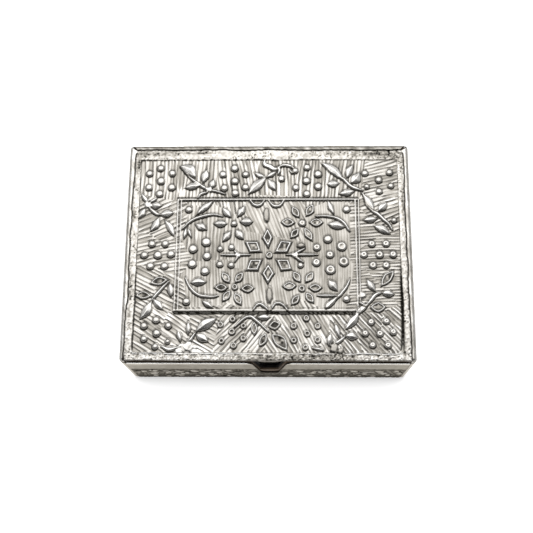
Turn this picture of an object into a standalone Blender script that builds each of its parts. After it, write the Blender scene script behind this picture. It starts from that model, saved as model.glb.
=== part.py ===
# Embossed silver box with a hinged lid.
# A thin wooden case is clad with sheet silver, lined with velvet and closed by a lid on two brass hinges.
# Units are metres. X runs along the width, the front faces -Y, +Z is up.
# The origin is the centre of the underside.

import math

import bmesh
import bpy
from mathutils import Matrix, Vector

# Whole box
box_width = 0.1100
box_depth = 0.0865
box_height = 0.03555
corner_radius = 0.0015
edge_radius = 0.0014

# Sheets, boards and the gap left between pieces that touch
sheet_thickness = 0.00035
seat_gap = 0.0003
wall_thickness = 0.0016
floor_thickness = 0.0022
lid_board_thickness = 0.0017
lid_gap = 0.0005
corner_return = 0.0019

# Felt and velvet
felt_thickness = 0.0007
felt_inset = 0.0012
lining_thickness = 0.0008
lining_setback = 0.0014
lid_lining_margin = 0.0015

# Thumb notch in the front wall
notch_centre = 0.0003
notch_depth = 0.0175
notch_top_half_width = 0.0066
notch_floor_half_width = 0.0035
notch_shoulder_radius = 0.0026
notch_floor_radius = 0.0016
notch_lining_margin = 0.0006

# Lid sheet: plain border, sunk field, raised frame and front fold
band_width = 0.0020
rear_band_width = 0.0017
field_side_inset = 0.0049
field_front_inset = 0.0034
field_rear_inset = 0.0064
field_depth = 0.00012
frame_half_width = 0.0344
frame_half_depth = 0.0225
frame_centre_y = -0.0016
frame_bar = 0.0010
frame_height = 0.00022
fold_drop = 0.0017
lip_drop = 0.0034
lip_top_half_width = 0.0046
lip_foot_half_width = 0.0031
lip_radius = 0.0012

# Raised ornament on the lid
ornament_sink = 0.00008
boss_radius = 0.0013
large_boss_radius = 0.0015
small_boss_radius = 0.0010
boss_height = 0.00042
petal_length = 0.0050
petal_width = 0.0026
petal_height = 0.00034
rhomb_length = 0.0076
rhomb_width = 0.0040
rhomb_height = 0.00036
cluster_pitch = 0.0053
flower_pitch = 0.0053
rosette_pitch = 0.0071

# Hinges
hinge_offset = 0.0280
hinge_length = 0.0120
knuckle_radius = 0.00095
axis_stand_off = 0.00025
leaf_thickness = 0.0005
leaf_reach = 0.0052
leaf_tuck = 0.00004
pin_radius = 0.00035
pin_clearance = 0.00025
pin_head_radius = 0.00060
pin_head_height = 0.0003
nail_radius = 0.00030
nail_head_radius = 0.00055
nail_head_height = 0.0002
nail_depth = 0.0007
nail_clearance = 0.00025
nail_spacing = 0.0068
lid_nail_inset = 0.0014
base_nail_drop = 0.0036

# One overrun serves every cut
overrun = 0.0020
weld_distance = 0.000001
sharp_angle = math.radians(40)
round_profile = 0.5

# Facet counts
corner_segments = 4
knuckle_sides = 24
nail_sides = 16
boss_sides = 8
boss_rings = 4
petal_sides = 8
rhomb_sides = 4
rhomb_top_share = 0.45
ornament_ring = 6

# Places on the lid, as shares of its half width and half depth
upright_cluster_shares = [(-0.77, 0.66), (-0.24, 0.65), (0.27, 0.66), (0.78, 0.66),
                          (-0.76, -0.75), (-0.24, -0.75), (0.26, -0.75)]
level_cluster_shares = [(-0.76, -0.05), (0.77, -0.05), (0.76, -0.76)]
flower_shares = [(-0.24, 0.24), (0.24, 0.25), (-0.23, -0.35), (0.23, -0.36)]
rosette_share = (0.0, -0.05)
large_boss_shares = [(-0.43, 0.07), (-0.52, 0.01), (-0.42, -0.06), (-0.52, -0.13), (-0.44, -0.20),
                     (0.42, 0.09), (0.51, 0.03), (0.43, -0.05), (0.52, -0.11), (0.43, -0.18)]
corner_boss_shares = [(-0.56, 0.38), (0.55, 0.37), (-0.56, -0.47), (0.54, -0.45)]
small_boss_shares = [(-0.33, 0.01), (-0.25, 0.03), (-0.34, -0.14), (-0.25, -0.15),
                     (0.33, 0.02), (0.33, -0.12), (0.23, 0.04), (0.22, -0.15)]

# Levels, worked out upwards from the underside and downwards from the lid's border
case_bottom = felt_thickness + seat_gap
lid_sheet_underside = box_height - sheet_thickness
lid_board_top = lid_sheet_underside - seat_gap
lid_underside = lid_board_top - lid_board_thickness
wall_top = lid_underside - lid_gap
floor_top = case_bottom + floor_thickness
floor_lining_bottom = floor_top + seat_gap
floor_lining_top = floor_lining_bottom + lining_thickness
lining_bottom = floor_lining_top + seat_gap
lining_top = wall_top - lining_setback
notch_bottom = wall_top - notch_depth
field_level = box_height - field_depth

# Half sizes from the outer faces inwards
half_width = box_width / 2
half_depth = box_depth / 2
cladding_total = sheet_thickness + seat_gap
wood_half_width = half_width - cladding_total
wood_half_depth = half_depth - cladding_total
inner_half_width = wood_half_width - wall_thickness
inner_half_depth = wood_half_depth - wall_thickness
lining_half_width = inner_half_width - seat_gap
lining_half_depth = inner_half_depth - seat_gap
wood_corner_radius = corner_radius - cladding_total

# Hinge axis and leaf faces
axis_y = half_depth + axis_stand_off
axis_z = lid_underside - seat_gap + leaf_tuck - knuckle_radius
lid_leaf_top = axis_z + knuckle_radius - leaf_tuck
lid_leaf_bottom = lid_leaf_top - leaf_thickness
lid_leaf_end = axis_y - leaf_reach
base_leaf_inner = axis_y - knuckle_radius + leaf_tuck
base_leaf_outer = base_leaf_inner + leaf_thickness
base_leaf_end = axis_z - leaf_reach
knuckle_length = (hinge_length - 2 * seat_gap) / 3
hinge_clear_radius = knuckle_radius + seat_gap
hinge_clear_half = hinge_length / 2 + 2 * seat_gap + pin_head_height
bore_radius = pin_radius + pin_clearance
nail_hole_radius = nail_radius + nail_clearance
lid_nail_y = inner_half_depth - lid_nail_inset
base_nail_z = axis_z - base_nail_drop


# Scene, collections and materials

for old in list(bpy.data.objects):
    bpy.data.objects.remove(old, do_unlink=True)

parts = bpy.data.collections.new("silver_box")
cutters = bpy.data.collections.new("cutters")
bpy.context.scene.collection.children.link(parts)
bpy.context.scene.collection.children.link(cutters)


def make_material(name, colour, metallic, roughness):
    material = bpy.data.materials.new(name)
    material.use_nodes = True
    shader = material.node_tree.nodes["Principled BSDF"]
    shader.inputs["Base Color"].default_value = (*colour, 1.0)
    shader.inputs["Metallic"].default_value = metallic
    shader.inputs["Roughness"].default_value = roughness
    return material


materials = {
    "silver": make_material("embossed_silver", (0.72, 0.70, 0.66), 1.0, 0.32),
    "wood": make_material("case_wood", (0.32, 0.22, 0.14), 0.0, 0.65),
    "velvet": make_material("black_velvet", (0.012, 0.011, 0.013), 0.0, 0.9),
    "felt": make_material("base_felt", (0.05, 0.045, 0.04), 0.0, 0.95),
    "brass": make_material("hinge_brass", (0.62, 0.45, 0.18), 1.0, 0.38),
    "steel": make_material("hinge_steel", (0.45, 0.44, 0.42), 1.0, 0.35),
}

lid_pivot = bpy.data.objects.new("lid_pivot", None)
lid_pivot.location = (0, axis_y, axis_z)
parts.objects.link(lid_pivot)


# Builders

def add_part(name, mesh, place, finish, on_lid=False):
    mesh.materials.clear()
    mesh.materials.append(materials[finish])
    piece = bpy.data.objects.new(name, mesh)
    parts.objects.link(piece)
    piece.location = place
    if on_lid:
        piece.parent = lid_pivot
        piece.location = Vector(place) - lid_pivot.location
    return piece


def add_cutter(name, mesh, place=(0, 0, 0)):
    piece = bpy.data.objects.new(name, mesh)
    cutters.objects.link(piece)
    piece.location = place
    piece.hide_render = True
    piece.display_type = "WIRE"
    return piece


def mesh_from(bm, name):
    mesh = bpy.data.meshes.new(name)
    bm.to_mesh(mesh)
    bm.free()
    return mesh


def block_mesh(name, low, high):
    size = Vector(high) - Vector(low)
    bm = bmesh.new()
    bmesh.ops.create_cube(bm, size=1)
    bmesh.ops.scale(bm, verts=bm.verts, vec=size)
    return mesh_from(bm, name)


def middle(low, high):
    return (Vector(low) + Vector(high)) / 2


def add_block(name, low, high, finish, on_lid=False):
    return add_part(name, block_mesh(name, low, high), middle(low, high), finish, on_lid)


def cutter_block(name, low, high):
    return add_cutter(name, block_mesh(name, low, high), middle(low, high))


# A flat outline's X stays across the box; its Y goes up for a front view and back for a plan
outline_turns = {"y": Matrix(((1, 0, 0), (0, 0, -1), (0, 1, 0))), "z": Matrix.Identity(3)}
outline_axes = {"y": Vector((0, 1, 0)), "z": Vector((0, 0, 1))}


def outline_mesh(name, outlines, axis, low, high):
    curve = bpy.data.curves.new(name, "CURVE")
    curve.dimensions = "2D"
    curve.fill_mode = "BOTH"
    curve.extrude = (high - low) / 2
    for points in outlines:
        spline = curve.splines.new("POLY")
        spline.points.add(len(points) - 1)
        for point, (across, up) in zip(spline.points, points):
            point.co = (across, up, 0, 1)
        spline.use_cyclic_u = True
    guide = bpy.data.objects.new(name, curve)
    cutters.objects.link(guide)
    bpy.context.view_layer.update()
    graph = bpy.context.evaluated_depsgraph_get()
    mesh = bpy.data.meshes.new_from_object(guide.evaluated_get(graph))
    bpy.data.objects.remove(guide, do_unlink=True)
    turn = outline_turns[axis]
    slide = outline_axes[axis] * ((high + low) / 2)
    bm = bmesh.new()
    bm.from_mesh(mesh)
    bmesh.ops.remove_doubles(bm, verts=bm.verts, dist=weld_distance)
    bmesh.ops.transform(bm, matrix=Matrix.Translation(slide) @ turn.to_4x4(), verts=bm.verts)
    bmesh.ops.recalc_face_normals(bm, faces=bm.faces)
    return mesh_from(bm, name)


def fillet(before, corner, after, radius, segments=corner_segments):
    corner = Vector(corner)
    to_before = (Vector(before) - corner).normalized()
    to_after = (Vector(after) - corner).normalized()
    half_angle = to_before.angle(to_after) / 2
    centre = corner + (to_before + to_after).normalized() * (radius / math.sin(half_angle))
    reach = radius / math.tan(half_angle)
    start = corner + to_before * reach - centre
    end = corner + to_after * reach - centre
    first = math.atan2(start.y, start.x)
    sweep = math.atan2(end.y, end.x) - first
    sweep = (sweep + math.pi) % (2 * math.pi) - math.pi
    steps = [first + sweep * index / segments for index in range(segments + 1)]
    return [(centre.x + radius * math.cos(a), centre.y + radius * math.sin(a)) for a in steps]


def boolean(piece, cutter, operation="DIFFERENCE"):
    step = piece.modifiers.new(operation.lower() + "_" + cutter.name, "BOOLEAN")
    step.operation = operation
    step.solver = "EXACT"
    step.object = cutter
    return step


def turned_mesh(name, profile, sides, direction):
    bm = bmesh.new()
    rings = [bm.verts.new((radius, 0, height)) for radius, height in profile]
    for upper, lower in zip(rings, rings[1:]):
        bm.edges.new((upper, lower))
    guide = bpy.data.objects.new(name, mesh_from(bm, name))
    cutters.objects.link(guide)
    screw = guide.modifiers.new("turn", "SCREW")
    screw.steps = sides
    screw.render_steps = sides
    screw.use_merge_vertices = True
    screw.merge_threshold = weld_distance
    bpy.context.view_layer.update()
    graph = bpy.context.evaluated_depsgraph_get()
    mesh = bpy.data.meshes.new_from_object(guide.evaluated_get(graph))
    bpy.data.objects.remove(guide, do_unlink=True)
    mesh.transform(Vector((0, 0, 1)).rotation_difference(Vector(direction)).to_matrix().to_4x4())
    mesh.shade_smooth()
    mesh.set_sharp_from_angle(angle=sharp_angle)
    return mesh


# Notch outline: straight sides between rounded shoulders and a rounded floor, open at the top

def notch_outline(margin):
    top = wall_top
    floor = notch_bottom - margin
    wide = notch_top_half_width + margin
    narrow = notch_floor_half_width + margin
    far = (-half_width, top)
    shoulder = (-wide, top)
    foot = (-narrow, floor)
    other_foot = (narrow, floor)
    left = fillet(far, shoulder, foot, notch_shoulder_radius)[1:]
    left = left + fillet(shoulder, foot, other_foot, notch_floor_radius)
    left = [(left[0][0], top + overrun)] + left
    right = [(-across, up) for across, up in reversed(left)]
    return [(notch_centre + across, up) for across, up in left + right]


def notch_cutter(name, margin):
    return add_cutter(name, outline_mesh(name, [notch_outline(margin)], "y", -half_depth - overrun,
                                         -inner_half_depth + overrun))


wall_notch = notch_cutter("wall_notch", 0)
lining_notch = notch_cutter("lining_notch", notch_lining_margin)


# Hinge places

hinge_places = {"left": -hinge_offset, "right": hinge_offset}


def hinge_block(name, across, half_length, near, far, low, high):
    return cutter_block(name, (across - half_length, near, low), (across + half_length, far, high))


def nail_places(across):
    return [across - nail_spacing / 2, across + nail_spacing / 2]


# Wooden case

def wall_outline(half_length, outer, inner, side):
    near = side * inner
    far = side * outer
    left_end = fillet((-half_length, near), (-half_length, far), (0, far), wood_corner_radius)
    right_end = fillet((0, far), (half_length, far), (half_length, near), wood_corner_radius)
    return [(-half_length, near)] + left_end + right_end + [(half_length, near)]


def add_end_wall(name, side):
    outline = wall_outline(wood_half_width, wood_half_depth, inner_half_depth, side)
    mesh = outline_mesh(name, [outline], "z", case_bottom, wall_top)
    return add_part(name, mesh, (0, 0, 0), "wood")


front_wall = add_end_wall("front_wall", -1)
boolean(front_wall, wall_notch)
rear_wall = add_end_wall("rear_wall", 1)

side_wall_half_length = inner_half_depth - seat_gap
for label, side in (("left", -1), ("right", 1)):
    edges = sorted((side * wood_half_width, side * inner_half_width))
    add_block(label + "_wall", (edges[0], -side_wall_half_length, case_bottom),
              (edges[1], side_wall_half_length, wall_top), "wood")

add_block("floor_board", (-lining_half_width, -lining_half_depth, case_bottom),
          (lining_half_width, lining_half_depth, floor_top), "wood")


# Sheet silver round the case: the side sheets turn round the corners, front and rear are flat

def add_side_cladding(name, side):
    reach = half_width - corner_return
    path = [(-reach, -half_depth)]
    path += fillet((0, -half_depth), (-half_width, -half_depth), (-half_width, 0), corner_radius)
    path += fillet((-half_width, 0), (-half_width, half_depth), (0, half_depth), corner_radius)
    path += [(-reach, half_depth)]
    bm = bmesh.new()
    foot = [bm.verts.new((-side * across, along, case_bottom)) for across, along in path]
    head = [bm.verts.new((-side * across, along, wall_top)) for across, along in path]
    for index in range(len(path) - 1):
        face = [foot[index], foot[index + 1], head[index + 1], head[index]]
        bm.faces.new(face if side > 0 else list(reversed(face)))
    piece = add_part(name, mesh_from(bm, name), (0, 0, 0), "silver")
    shell = piece.modifiers.new("sheet", "SOLIDIFY")
    shell.thickness = sheet_thickness
    shell.offset = -1
    shell.use_even_offset = True
    return piece


add_side_cladding("left_cladding", -1)
add_side_cladding("right_cladding", 1)

flat_cladding_half = half_width - corner_return - seat_gap
front_cladding = add_block("front_cladding", (-flat_cladding_half, -half_depth, case_bottom),
                           (flat_cladding_half, sheet_thickness - half_depth, wall_top), "silver")
boolean(front_cladding, wall_notch)
rear_cladding = add_block("rear_cladding",
                          (-flat_cladding_half, half_depth - sheet_thickness, case_bottom),
                          (flat_cladding_half, half_depth, wall_top), "silver")


# Velvet inside and felt below

add_block("floor_lining", (-lining_half_width, -lining_half_depth, floor_lining_bottom),
          (lining_half_width, lining_half_depth, floor_lining_top), "velvet")
front_lining = add_block("front_lining", (-lining_half_width, -lining_half_depth, lining_bottom),
                         (lining_half_width, lining_thickness - lining_half_depth, lining_top), "velvet")
boolean(front_lining, lining_notch)
add_block("rear_lining", (-lining_half_width, lining_half_depth - lining_thickness, lining_bottom),
          (lining_half_width, lining_half_depth, lining_top), "velvet")

side_lining_half_length = lining_half_depth - lining_thickness - seat_gap
for label, side in (("left", -1), ("right", 1)):
    edges = sorted((side * lining_half_width, side * (lining_half_width - lining_thickness)))
    add_block(label + "_lining", (edges[0], -side_lining_half_length, lining_bottom),
              (edges[1], side_lining_half_length, lining_top), "velvet")

felt_half_width = half_width - felt_inset
felt_half_depth = half_depth - felt_inset
felt_corners = [(-felt_half_width, -felt_half_depth), (felt_half_width, -felt_half_depth),
                (felt_half_width, felt_half_depth), (-felt_half_width, felt_half_depth)]
felt_outline = []
for index, corner in enumerate(felt_corners):
    felt_outline += fillet(felt_corners[index - 1], corner, felt_corners[(index + 1) % 4], corner_radius)
add_part("base_felt", outline_mesh("base_felt", [felt_outline], "z", 0, felt_thickness), (0, 0, 0), "felt")


# Lid: a rounded slab from which the edge strips and the top sheet are cut

def slab_mesh(name, inset, low, high):
    half_x = half_width - inset
    half_y = half_depth - inset
    mesh = block_mesh(name, (-half_x, -half_y, low), (half_x, half_y, high))
    mesh.transform(Matrix.Translation((0, 0, (low + high) / 2)))
    bm = bmesh.new()
    bm.from_mesh(mesh)
    rounded = [edge for edge in bm.edges if max(vert.co.z for vert in edge.verts) > (low + high) / 2]
    bmesh.ops.bevel(bm, geom=rounded, offset=edge_radius - inset, segments=corner_segments,
                    profile=round_profile, affect="EDGES")
    return mesh_from(bm, name)


lip_level = lid_underside - lip_drop
shell_bottom = lip_level - overrun
lid_outer = add_cutter("lid_outer", slab_mesh("lid_outer", 0, shell_bottom, box_height))
lid_inner = add_cutter("lid_inner", slab_mesh("lid_inner", sheet_thickness, shell_bottom - overrun,
                                              lid_sheet_underside))

lid_board = add_part("lid_board", slab_mesh("lid_board", cladding_total, lid_underside, lid_board_top),
                     (0, 0, 0), "wood", on_lid=True)


def add_lid_sheet(name, plan, low):
    mesh = outline_mesh(name, [plan], "z", low, box_height + overrun)
    piece = add_part(name, mesh, (0, 0, 0), "silver", on_lid=True)
    boolean(piece, lid_outer, "INTERSECT")
    boolean(piece, lid_inner)
    return piece


band_inner_x = half_width - band_width
band_inner_y = half_depth - rear_band_width
mitre_slope = rear_band_width / band_width
far_x = half_width + overrun
far_y = half_depth + overrun * mitre_slope
mitre_gap = seat_gap / 2

for label, side in (("left", -1), ("right", 1)):
    plan = [(-far_x, -far_y), (-band_inner_x, -far_y), (-band_inner_x, band_inner_y - mitre_gap),
            (-far_x, far_y - mitre_gap)]
    plan = [(-side * across, along) for across, along in plan]
    add_lid_sheet("lid_band_" + label, plan if side < 0 else list(reversed(plan)), lid_underside)

rear_band_plan = [(-band_inner_x, band_inner_y + mitre_gap), (band_inner_x, band_inner_y + mitre_gap),
                  (far_x, far_y + mitre_gap), (-far_x, far_y + mitre_gap)]
add_lid_sheet("lid_band_rear", rear_band_plan, lid_underside)

plate_half_x = band_inner_x - seat_gap
plate_rear_y = band_inner_y + mitre_gap - seat_gap
lid_plate = add_lid_sheet("lid_plate", [(-plate_half_x, -far_y), (plate_half_x, -far_y),
                                        (plate_half_x, plate_rear_y), (-plate_half_x, plate_rear_y)],
                          shell_bottom + overrun / 2)

# The fold ends a little below the rounded edge and runs down into a lip over the notch
fold_level = box_height - fold_drop
lip_shoulder = (-lip_top_half_width, fold_level)
lip_foot = (-lip_foot_half_width, lip_level)
lip_side = fillet((-far_x, fold_level), lip_shoulder, lip_foot, lip_radius)
lip_side += fillet(lip_shoulder, lip_foot, (0, lip_level), lip_radius)
lip_outline = [(-far_x, fold_level)] + lip_side
lip_outline += [(-across, up) for across, up in reversed(lip_outline)]
lip_outline = [(across + notch_centre, up) for across, up in lip_outline]
lip_outline += [(far_x + notch_centre, box_height + overrun), (notch_centre - far_x, box_height + overrun)]
fold_mask = add_cutter("fold_mask", outline_mesh("fold_mask", [lip_outline], "y", -far_y, far_y))
boolean(lid_plate, fold_mask, "INTERSECT")

field_half_x = half_width - field_side_inset
field_low_y = -half_depth + field_front_inset
field_high_y = half_depth - field_rear_inset
field = cutter_block("field", (-field_half_x, field_low_y, field_level),
                     (field_half_x, field_high_y, box_height + overrun))
boolean(lid_plate, field)


def frame_rectangle(half_x, half_y):
    return [(-half_x, frame_centre_y - half_y), (half_x, frame_centre_y - half_y),
            (half_x, frame_centre_y + half_y), (-half_x, frame_centre_y + half_y)]


frame_ridge = add_cutter("frame_ridge", outline_mesh(
    "frame_ridge",
    [frame_rectangle(frame_half_width, frame_half_depth),
     frame_rectangle(frame_half_width - frame_bar, frame_half_depth - frame_bar)],
    "z", field_level - ornament_sink, field_level + frame_height))
boolean(lid_plate, frame_ridge, "UNION")


# Ornament: bosses, petals and the rhombs of the rosette, low closed shapes sunk a little into the field

def on_lid_plan(share):
    return (share[0] * half_width, share[1] * half_depth)


def ring_places(centre, pitch, first_angle):
    angles = [first_angle + index * 2 * math.pi / ornament_ring for index in range(ornament_ring)]
    return [(centre[0] + pitch * math.cos(a), centre[1] + pitch * math.sin(a), a) for a in angles]


def add_boss(bm, place, radius):
    made = bmesh.ops.create_uvsphere(bm, u_segments=boss_sides, v_segments=boss_rings, radius=1)
    bmesh.ops.scale(bm, verts=made["verts"], vec=(radius, radius, boss_height))
    for vert in made["verts"]:
        vert.co.z = max(vert.co.z, -ornament_sink)
    bmesh.ops.translate(bm, verts=made["verts"], vec=(place[0], place[1], field_level))


def add_facet_shape(bm, place, angle, sides, top_share, length, width, height):
    made = bmesh.ops.create_cone(bm, cap_ends=True, segments=sides, radius1=1, radius2=top_share, depth=1)
    rise = height + ornament_sink
    bmesh.ops.scale(bm, verts=made["verts"], vec=(length / 2, width / 2, rise))
    bmesh.ops.rotate(bm, verts=made["verts"], cent=(0, 0, 0), matrix=Matrix.Rotation(angle, 3, "Z"))
    bmesh.ops.translate(bm, verts=made["verts"],
                        vec=(place[0], place[1], field_level - ornament_sink + rise / 2))


upright = math.pi / 2
ornament = bmesh.new()
for shares, first_angle in ((upright_cluster_shares, upright), (level_cluster_shares, 0)):
    for share in shares:
        centre = on_lid_plan(share)
        add_boss(ornament, centre, boss_radius)
        for place in ring_places(centre, cluster_pitch, first_angle):
            add_boss(ornament, place, boss_radius)
for share in flower_shares:
    centre = on_lid_plan(share)
    add_boss(ornament, centre, small_boss_radius)
    for across, along, angle in ring_places(centre, flower_pitch, 0):
        add_facet_shape(ornament, (across, along), angle, petal_sides, rhomb_top_share, petal_length,
                        petal_width, petal_height)
rosette_centre = on_lid_plan(rosette_share)
add_boss(ornament, rosette_centre, small_boss_radius)
for across, along, angle in ring_places(rosette_centre, rosette_pitch, upright):
    add_facet_shape(ornament, (across, along), angle, rhomb_sides, rhomb_top_share, rhomb_length,
                    rhomb_width, rhomb_height)
for shares, radius in ((large_boss_shares, large_boss_radius), (corner_boss_shares, boss_radius),
                       (small_boss_shares, small_boss_radius)):
    for share in shares:
        add_boss(ornament, on_lid_plan(share), radius)
lid_ornament = add_cutter("lid_ornament", mesh_from(ornament, "lid_ornament"))
raised = boolean(lid_plate, lid_ornament, "UNION")
raised.use_self = True

lid_lining_half_x = lining_half_width - lining_thickness - lid_lining_margin
lid_lining_front = -lining_half_depth + lining_thickness + lid_lining_margin
lid_lining_rear = lid_leaf_end - lid_lining_margin
add_block("lid_lining", (-lid_lining_half_x, lid_lining_front, lid_underside - seat_gap - lining_thickness),
          (lid_lining_half_x, lid_lining_rear, lid_underside - seat_gap), "velvet", on_lid=True)


# Hinges: rolled knuckles on flat leaves, with a headed pin through them

def cylinder_mesh(name, radius, length, sides):
    bm = bmesh.new()
    bmesh.ops.create_cone(bm, cap_ends=True, segments=sides, radius1=radius, radius2=radius, depth=length)
    bmesh.ops.rotate(bm, verts=bm.verts, cent=(0, 0, 0), matrix=Matrix.Rotation(upright, 3, "Y"))
    return mesh_from(bm, name)


def nail_profile(shank_length):
    return [(0, nail_head_height), (nail_head_radius, nail_head_height), (nail_head_radius, 0),
            (nail_radius, 0), (nail_radius, -shank_length), (0, -shank_length)]


def knuckle_cutters(label, across):
    bore_mesh = cylinder_mesh("bore_" + label, bore_radius, hinge_length + overrun, knuckle_sides)
    bore = add_cutter("bore_" + label, bore_mesh, (across, axis_y, axis_z))
    clear_y = axis_y - hinge_clear_radius
    clear_z = axis_z - hinge_clear_radius
    side_inner = knuckle_length / 2
    middle_half = side_inner + seat_gap
    top_y = axis_y + overrun
    top_z = axis_z + overrun
    right_slot = cutter_block("slot_" + label + "_right", (across + side_inner, clear_y, axis_z - overrun),
                              (across + hinge_length, top_y, top_z))
    left_slot = cutter_block("slot_" + label + "_left", (across - hinge_length, clear_y, axis_z - overrun),
                             (across - side_inner, top_y, top_z))
    middle_slot = cutter_block("slot_" + label + "_middle",
                               (across - middle_half, axis_y - overrun, clear_z),
                               (across + middle_half, top_y, top_z))
    return bore, [left_slot, right_slot], middle_slot


def add_pin(label, across):
    pin_half = hinge_length / 2 + seat_gap
    pin_top = pin_half + pin_head_height
    pin_profile = [(0, pin_top), (pin_head_radius, pin_top), (pin_head_radius, pin_half),
                   (pin_radius, pin_half), (pin_radius, -pin_half), (pin_head_radius, -pin_half),
                   (pin_head_radius, -pin_top), (0, -pin_top)]
    pin_mesh = turned_mesh("hinge_pin_" + label, pin_profile, nail_sides, (1, 0, 0))
    add_part("hinge_pin_" + label, pin_mesh, (across, axis_y, axis_z), "steel")


def nail_hole(name, direction, place):
    return add_cutter(name, turned_mesh(name, nail_hole_profile, nail_sides, direction), place)


def add_hinge(label, across):
    bore, side_slots, middle_slot = knuckle_cutters(label, across)
    half_length = hinge_length / 2
    barrel_mesh = cylinder_mesh("barrel_" + label, knuckle_radius, hinge_length, knuckle_sides)
    barrel = add_cutter("barrel_" + label, barrel_mesh, (across, axis_y, axis_z))

    lid_leaf = add_block("lid_hinge_leaf_" + label, (across - half_length, lid_leaf_end, lid_leaf_bottom),
                         (across + half_length, axis_y, lid_leaf_top), "brass", on_lid=True)
    base_leaf = add_block("base_hinge_leaf_" + label,
                          (across - half_length, base_leaf_inner, base_leaf_end),
                          (across + half_length, base_leaf_outer, axis_z), "brass")
    boolean(lid_leaf, barrel, "UNION")
    boolean(base_leaf, barrel, "UNION")
    boolean(lid_leaf, bore)
    boolean(base_leaf, bore)
    for slot in side_slots:
        boolean(lid_leaf, slot)
    boolean(base_leaf, middle_slot)
    add_pin(label, across)

    rear = half_depth + overrun
    above = wall_top + overrun
    wall_mortise = hinge_block("wall_mortise_" + label, across, hinge_clear_half,
                               axis_y - hinge_clear_radius, rear, base_leaf_end - seat_gap, above)
    leaf_channel = hinge_block("leaf_channel_" + label, across, half_length + seat_gap,
                               inner_half_depth - overrun, rear, lid_leaf_bottom - seat_gap, above)
    boolean(rear_wall, wall_mortise)
    boolean(rear_wall, leaf_channel)
    boolean(rear_cladding, wall_mortise)

    for index, place in enumerate(nail_places(across)):
        key = label + str(index)
        lid_hole = nail_hole("lid_hole_" + key, (0, 0, -1), (place, lid_nail_y, lid_leaf_bottom))
        base_hole = nail_hole("base_hole_" + key, (0, 1, 0), (place, base_leaf_outer, base_nail_z))
        boolean(lid_leaf, lid_hole)
        boolean(lid_board, lid_hole)
        boolean(base_leaf, base_hole)
        boolean(rear_wall, base_hole)


# A nail crosses its leaf and the gap behind it, then enters the wood
nail_shank = seat_gap + leaf_thickness + seat_gap + nail_depth
nail_hole_length = nail_shank - seat_gap + nail_clearance
nail_hole_profile = [(0, overrun / 2), (nail_hole_radius, overrun / 2),
                     (nail_hole_radius, -nail_hole_length), (0, -nail_hole_length)]

for label, across in hinge_places.items():
    add_hinge(label, across)

nail_xs = [place for across in hinge_places.values() for place in nail_places(across)]
for name, direction, level_y, level_z, on_lid in (
        ("lid_hinge_nail_", (0, 0, -1), lid_nail_y, lid_leaf_bottom - seat_gap, True),
        ("base_hinge_nail_", (0, 1, 0), base_leaf_outer + seat_gap, base_nail_z, False)):
    nail_mesh = turned_mesh(name + "mesh", nail_profile(nail_shank), nail_sides, direction)
    for number, place in enumerate(nail_xs, start=1):
        add_part(name + str(number), nail_mesh, (place, level_y, level_z), "steel", on_lid)

bpy.context.view_layer.update()
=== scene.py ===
# The looks of the embossed silver box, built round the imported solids.

import math

import bpy
import numpy as np
from mathutils import Matrix, Vector


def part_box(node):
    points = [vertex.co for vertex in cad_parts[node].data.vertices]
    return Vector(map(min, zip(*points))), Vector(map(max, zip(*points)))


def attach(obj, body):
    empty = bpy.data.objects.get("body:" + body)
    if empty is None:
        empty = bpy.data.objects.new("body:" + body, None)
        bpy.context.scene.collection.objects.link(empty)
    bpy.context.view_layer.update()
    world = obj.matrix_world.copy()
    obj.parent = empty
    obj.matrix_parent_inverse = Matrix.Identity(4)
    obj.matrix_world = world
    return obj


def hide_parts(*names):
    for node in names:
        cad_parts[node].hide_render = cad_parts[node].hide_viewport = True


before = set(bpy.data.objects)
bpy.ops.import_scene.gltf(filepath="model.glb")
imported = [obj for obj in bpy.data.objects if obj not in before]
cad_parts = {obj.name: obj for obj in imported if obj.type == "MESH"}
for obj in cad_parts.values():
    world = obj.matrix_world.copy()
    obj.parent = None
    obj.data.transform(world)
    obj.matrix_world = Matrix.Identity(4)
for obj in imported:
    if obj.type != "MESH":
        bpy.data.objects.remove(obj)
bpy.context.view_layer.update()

mm = 0.001
print("frame loaded:", len(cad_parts), "nodes")


# Levels and faces that every sheet is set against, read from the solids and kept in millimetres

def boxMm(node):
    low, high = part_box(node)
    return np.array(low) / mm, np.array(high) / mm


bandLow, bandHigh = boxMm("lid_band_left")
frontLow, frontHigh = boxMm("front_cladding")
rearLow, rearHigh = boxMm("rear_cladding")
lidTop = bandHigh[2]
halfX = -bandLow[0]
halfY = -boxMm("lid_plate")[0][1]
caseFoot = frontLow[2]
caseTop = frontHigh[2]


# Small numeric helpers

def smoothStep(low, high, value):
    t = np.clip((value - low) / (high - low), 0, 1)
    return t * t * (3 - 2 * t)


noiseTables = {}


def noise(x, y, seed):
    # smooth lattice noise from 0 to 1
    if seed not in noiseTables:
        noiseTables[seed] = np.random.RandomState(seed).rand(256, 256)
    table = noiseTables[seed]
    cellX = np.floor(x).astype(int)
    cellY = np.floor(y).astype(int)
    fx = x - cellX
    fy = y - cellY
    fx = fx * fx * (3 - 2 * fx)
    fy = fy * fy * (3 - 2 * fy)
    left, right = cellX % 256, (cellX + 1) % 256
    low, high = cellY % 256, (cellY + 1) % 256
    near = table[low, left] * (1 - fx) + table[low, right] * fx
    far = table[high, left] * (1 - fx) + table[high, right] * fx
    return near * (1 - fy) + far * fy


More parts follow.
